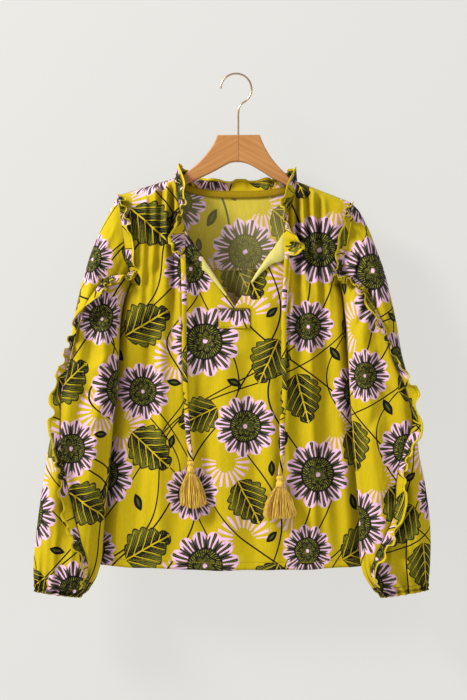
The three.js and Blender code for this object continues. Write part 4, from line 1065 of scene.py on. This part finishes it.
wire, n, shader = newMaterial("champagne wire")
shader.inputs["Base Color"].default_value = (0.62, 0.46, 0.30, 1)
shader.inputs["Metallic"].default_value = 1
shader.inputs["Roughness"].default_value = 0.28


def armTop(x):
    return roof(x) - 4.8


woodOutline = [
    (-31.5, -100.5), (-36, -111), (-43, -122.5), (-52, -134), (-62, -145), (-72, -153.5), (-82, -161),
    (-98, armTop(-98) - 3), (-114, armTop(-114) - 0.8), (-144, armTop(-144)), (-172, armTop(-172)),
    (-176, armTop(-172) - 7), (-172, armTop(-172) - 14), (-138, armTop(-138) - 14.5), (-104, armTop(-104) - 15),
    (-82, -174), (-60, -164), (-40, -154.5), (-22, -144.8), (-12, -140.2), (-1, -139), (10, -140), (20, -143.4),
    (38, -153.5), (58, -166), (78, -176.5), (98, armTop(98) - 15), (131, armTop(131) - 14.5),
    (164, armTop(164) - 14), (168, armTop(164) - 7), (164, armTop(164)),
    (136, armTop(136)), (108, armTop(108) - 0.8), (91, armTop(91) - 3),
    (76, -163), (65, -152), (54, -139), (44.5, -124.5), (38, -112), (33.5, -100.5),
]
woodCurve = bpy.data.curves.new("hanger body", "CURVE")
woodCurve.dimensions = "2D"
woodCurve.fill_mode = "BOTH"
woodCurve.extrude = hangerSize["halfFlat"]
woodCurve.bevel_depth = hangerSize["round"]
woodCurve.bevel_resolution = 4
woodCurve.resolution_u = 8
spline = woodCurve.splines.new("BEZIER")
spline.bezier_points.add(len(woodOutline) - 1)
for point, (x, z) in zip(spline.bezier_points, woodOutline):
    point.co = (x / 1000, z / 1000, 0)
    point.handle_left_type = point.handle_right_type = "AUTO"
for i in (0, len(woodOutline) - 1):
    spline.bezier_points[i].handle_left_type = spline.bezier_points[i].handle_right_type = "VECTOR"
spline.use_cyclic_u = True
curveObject = bpy.data.objects.new("hanger curve", woodCurve)
bpy.context.scene.collection.objects.link(curveObject)
bpy.context.view_layer.update()
woodMesh = bpy.data.meshes.new_from_object(curveObject.evaluated_get(bpy.context.evaluated_depsgraph_get()))
bpy.data.objects.remove(curveObject)
woodMesh.transform(Matrix.Rotation(math.radians(90), 4, "X"))
bm = bmesh.new()
bm.from_mesh(woodMesh)
bmesh.ops.remove_doubles(bm, verts=bm.verts, dist=1e-6)
bmesh.ops.recalc_face_normals(bm, faces=bm.faces)
for face in bm.faces:
    face.smooth = abs(face.normal.y) < 0.98
bm.to_mesh(woodMesh)
bm.free()
woodMesh.materials.clear()
woodMesh.materials.append(wood)
addPiece("hanger_body", woodMesh, ["hanger_wood"])

hookPoints = [(-3 + 25 * math.cos(math.radians(a)), -23.4 + 25 * math.sin(math.radians(a)))
              for a in [178 - 226 * k / 18 for k in range(19)]]
hookPoints += [(6.5, -47), (2.4, -52.5), (0.9, -60), (0.7, -78), (0.7, -99)]
hookCurve = bpy.data.curves.new("hook", "CURVE")
hookCurve.dimensions = "3D"
hookCurve.bevel_depth = hangerSize["wireRadius"]
hookCurve.bevel_resolution = 4
hookCurve.resolution_u = 6
hookCurve.use_fill_caps = True
spline = hookCurve.splines.new("BEZIER")
spline.bezier_points.add(len(hookPoints) - 1)
for point, (x, z) in zip(spline.bezier_points, hookPoints):
    point.co = (x / 1000, 0, z / 1000)
    point.handle_left_type = point.handle_right_type = "AUTO"
hookCurve.materials.append(wire)
addPiece("hook", hookCurve, ["hanger_hook"])
print("hanger made")

# Wall and floor: off-white paint that glows a little, so that shadows on it stay faint
room = {"paint": (0.145, 0.142, 0.134, 1), "glow": (1, 0.99, 0.955, 1), "glowStrength": 0.64,
        "wallY": 0.07, "floorZ": -1.3, "air": (0.97, 0.98, 1, 1), "airStrength": 0.27}
wallPaint, n, shader = newMaterial("off-white wall")
shader.inputs["Base Color"].default_value = room["paint"]
shader.inputs["Roughness"].default_value = 0.9
shader.inputs["Specular IOR Level"].default_value = 0.1
shader.inputs["Emission Color"].default_value = room["glow"]
shader.inputs["Emission Strength"].default_value = room["glowStrength"]
see = n.add("ShaderNodeMixShader")
n.put(see.inputs[0], n.add("ShaderNodeNewGeometry").outputs["Backfacing"])
n.put(see.inputs[1], shader.outputs[0])
n.put(see.inputs[2], n.add("ShaderNodeBsdfTransparent").outputs[0])
n.put(wallPaint.node_tree.nodes["Material Output"].inputs["Surface"], see.outputs[0])


def stagePlane(name, size, turn, place):
    bm = bmesh.new()
    bmesh.ops.create_grid(bm, x_segments=1, y_segments=1, size=size)
    bmesh.ops.transform(bm, matrix=Matrix.Translation(place) @ Matrix.Rotation(turn, 4, "X"), verts=bm.verts)
    plane = bpy.data.objects.new(name, finishMesh(bm, name, wallPaint))
    bpy.context.scene.collection.objects.link(plane)


stagePlane("wall", 4, math.radians(90), (0, room["wallY"], -0.4))
stagePlane("floor", 4, 0, (0, -3, room["floorZ"]))

lights = table("name place size power color", [
    ("key", (-2.2, -1.5, 1.5), 0.9, 120, (1, 0.985, 0.96)),
    ("fill", (2.4, -2.6, 0.2), 2.2, 10, (1, 1, 1)),
])
for row in lights:
    light = bpy.data.lights.new(row["name"], "AREA")
    light.shape = "DISK"
    light.size = row["size"]
    light.energy = row["power"]
    light.color = row["color"]
    lamp = bpy.data.objects.new(row["name"], light)
    lamp.location = row["place"]
    lamp.rotation_euler = (Vector((0, 0, -0.45)) - lamp.location).to_track_quat("-Z", "Y").to_euler()
    bpy.context.scene.collection.objects.link(lamp)
bpy.context.scene.view_settings.view_transform = "Standard"
world = bpy.data.worlds.new("room")
bpy.context.scene.world = world
world.use_nodes = True
world.node_tree.nodes["Background"].inputs["Color"].default_value = room["air"]
world.node_tree.nodes["Background"].inputs["Strength"].default_value = room["airStrength"]
print("stage lit")
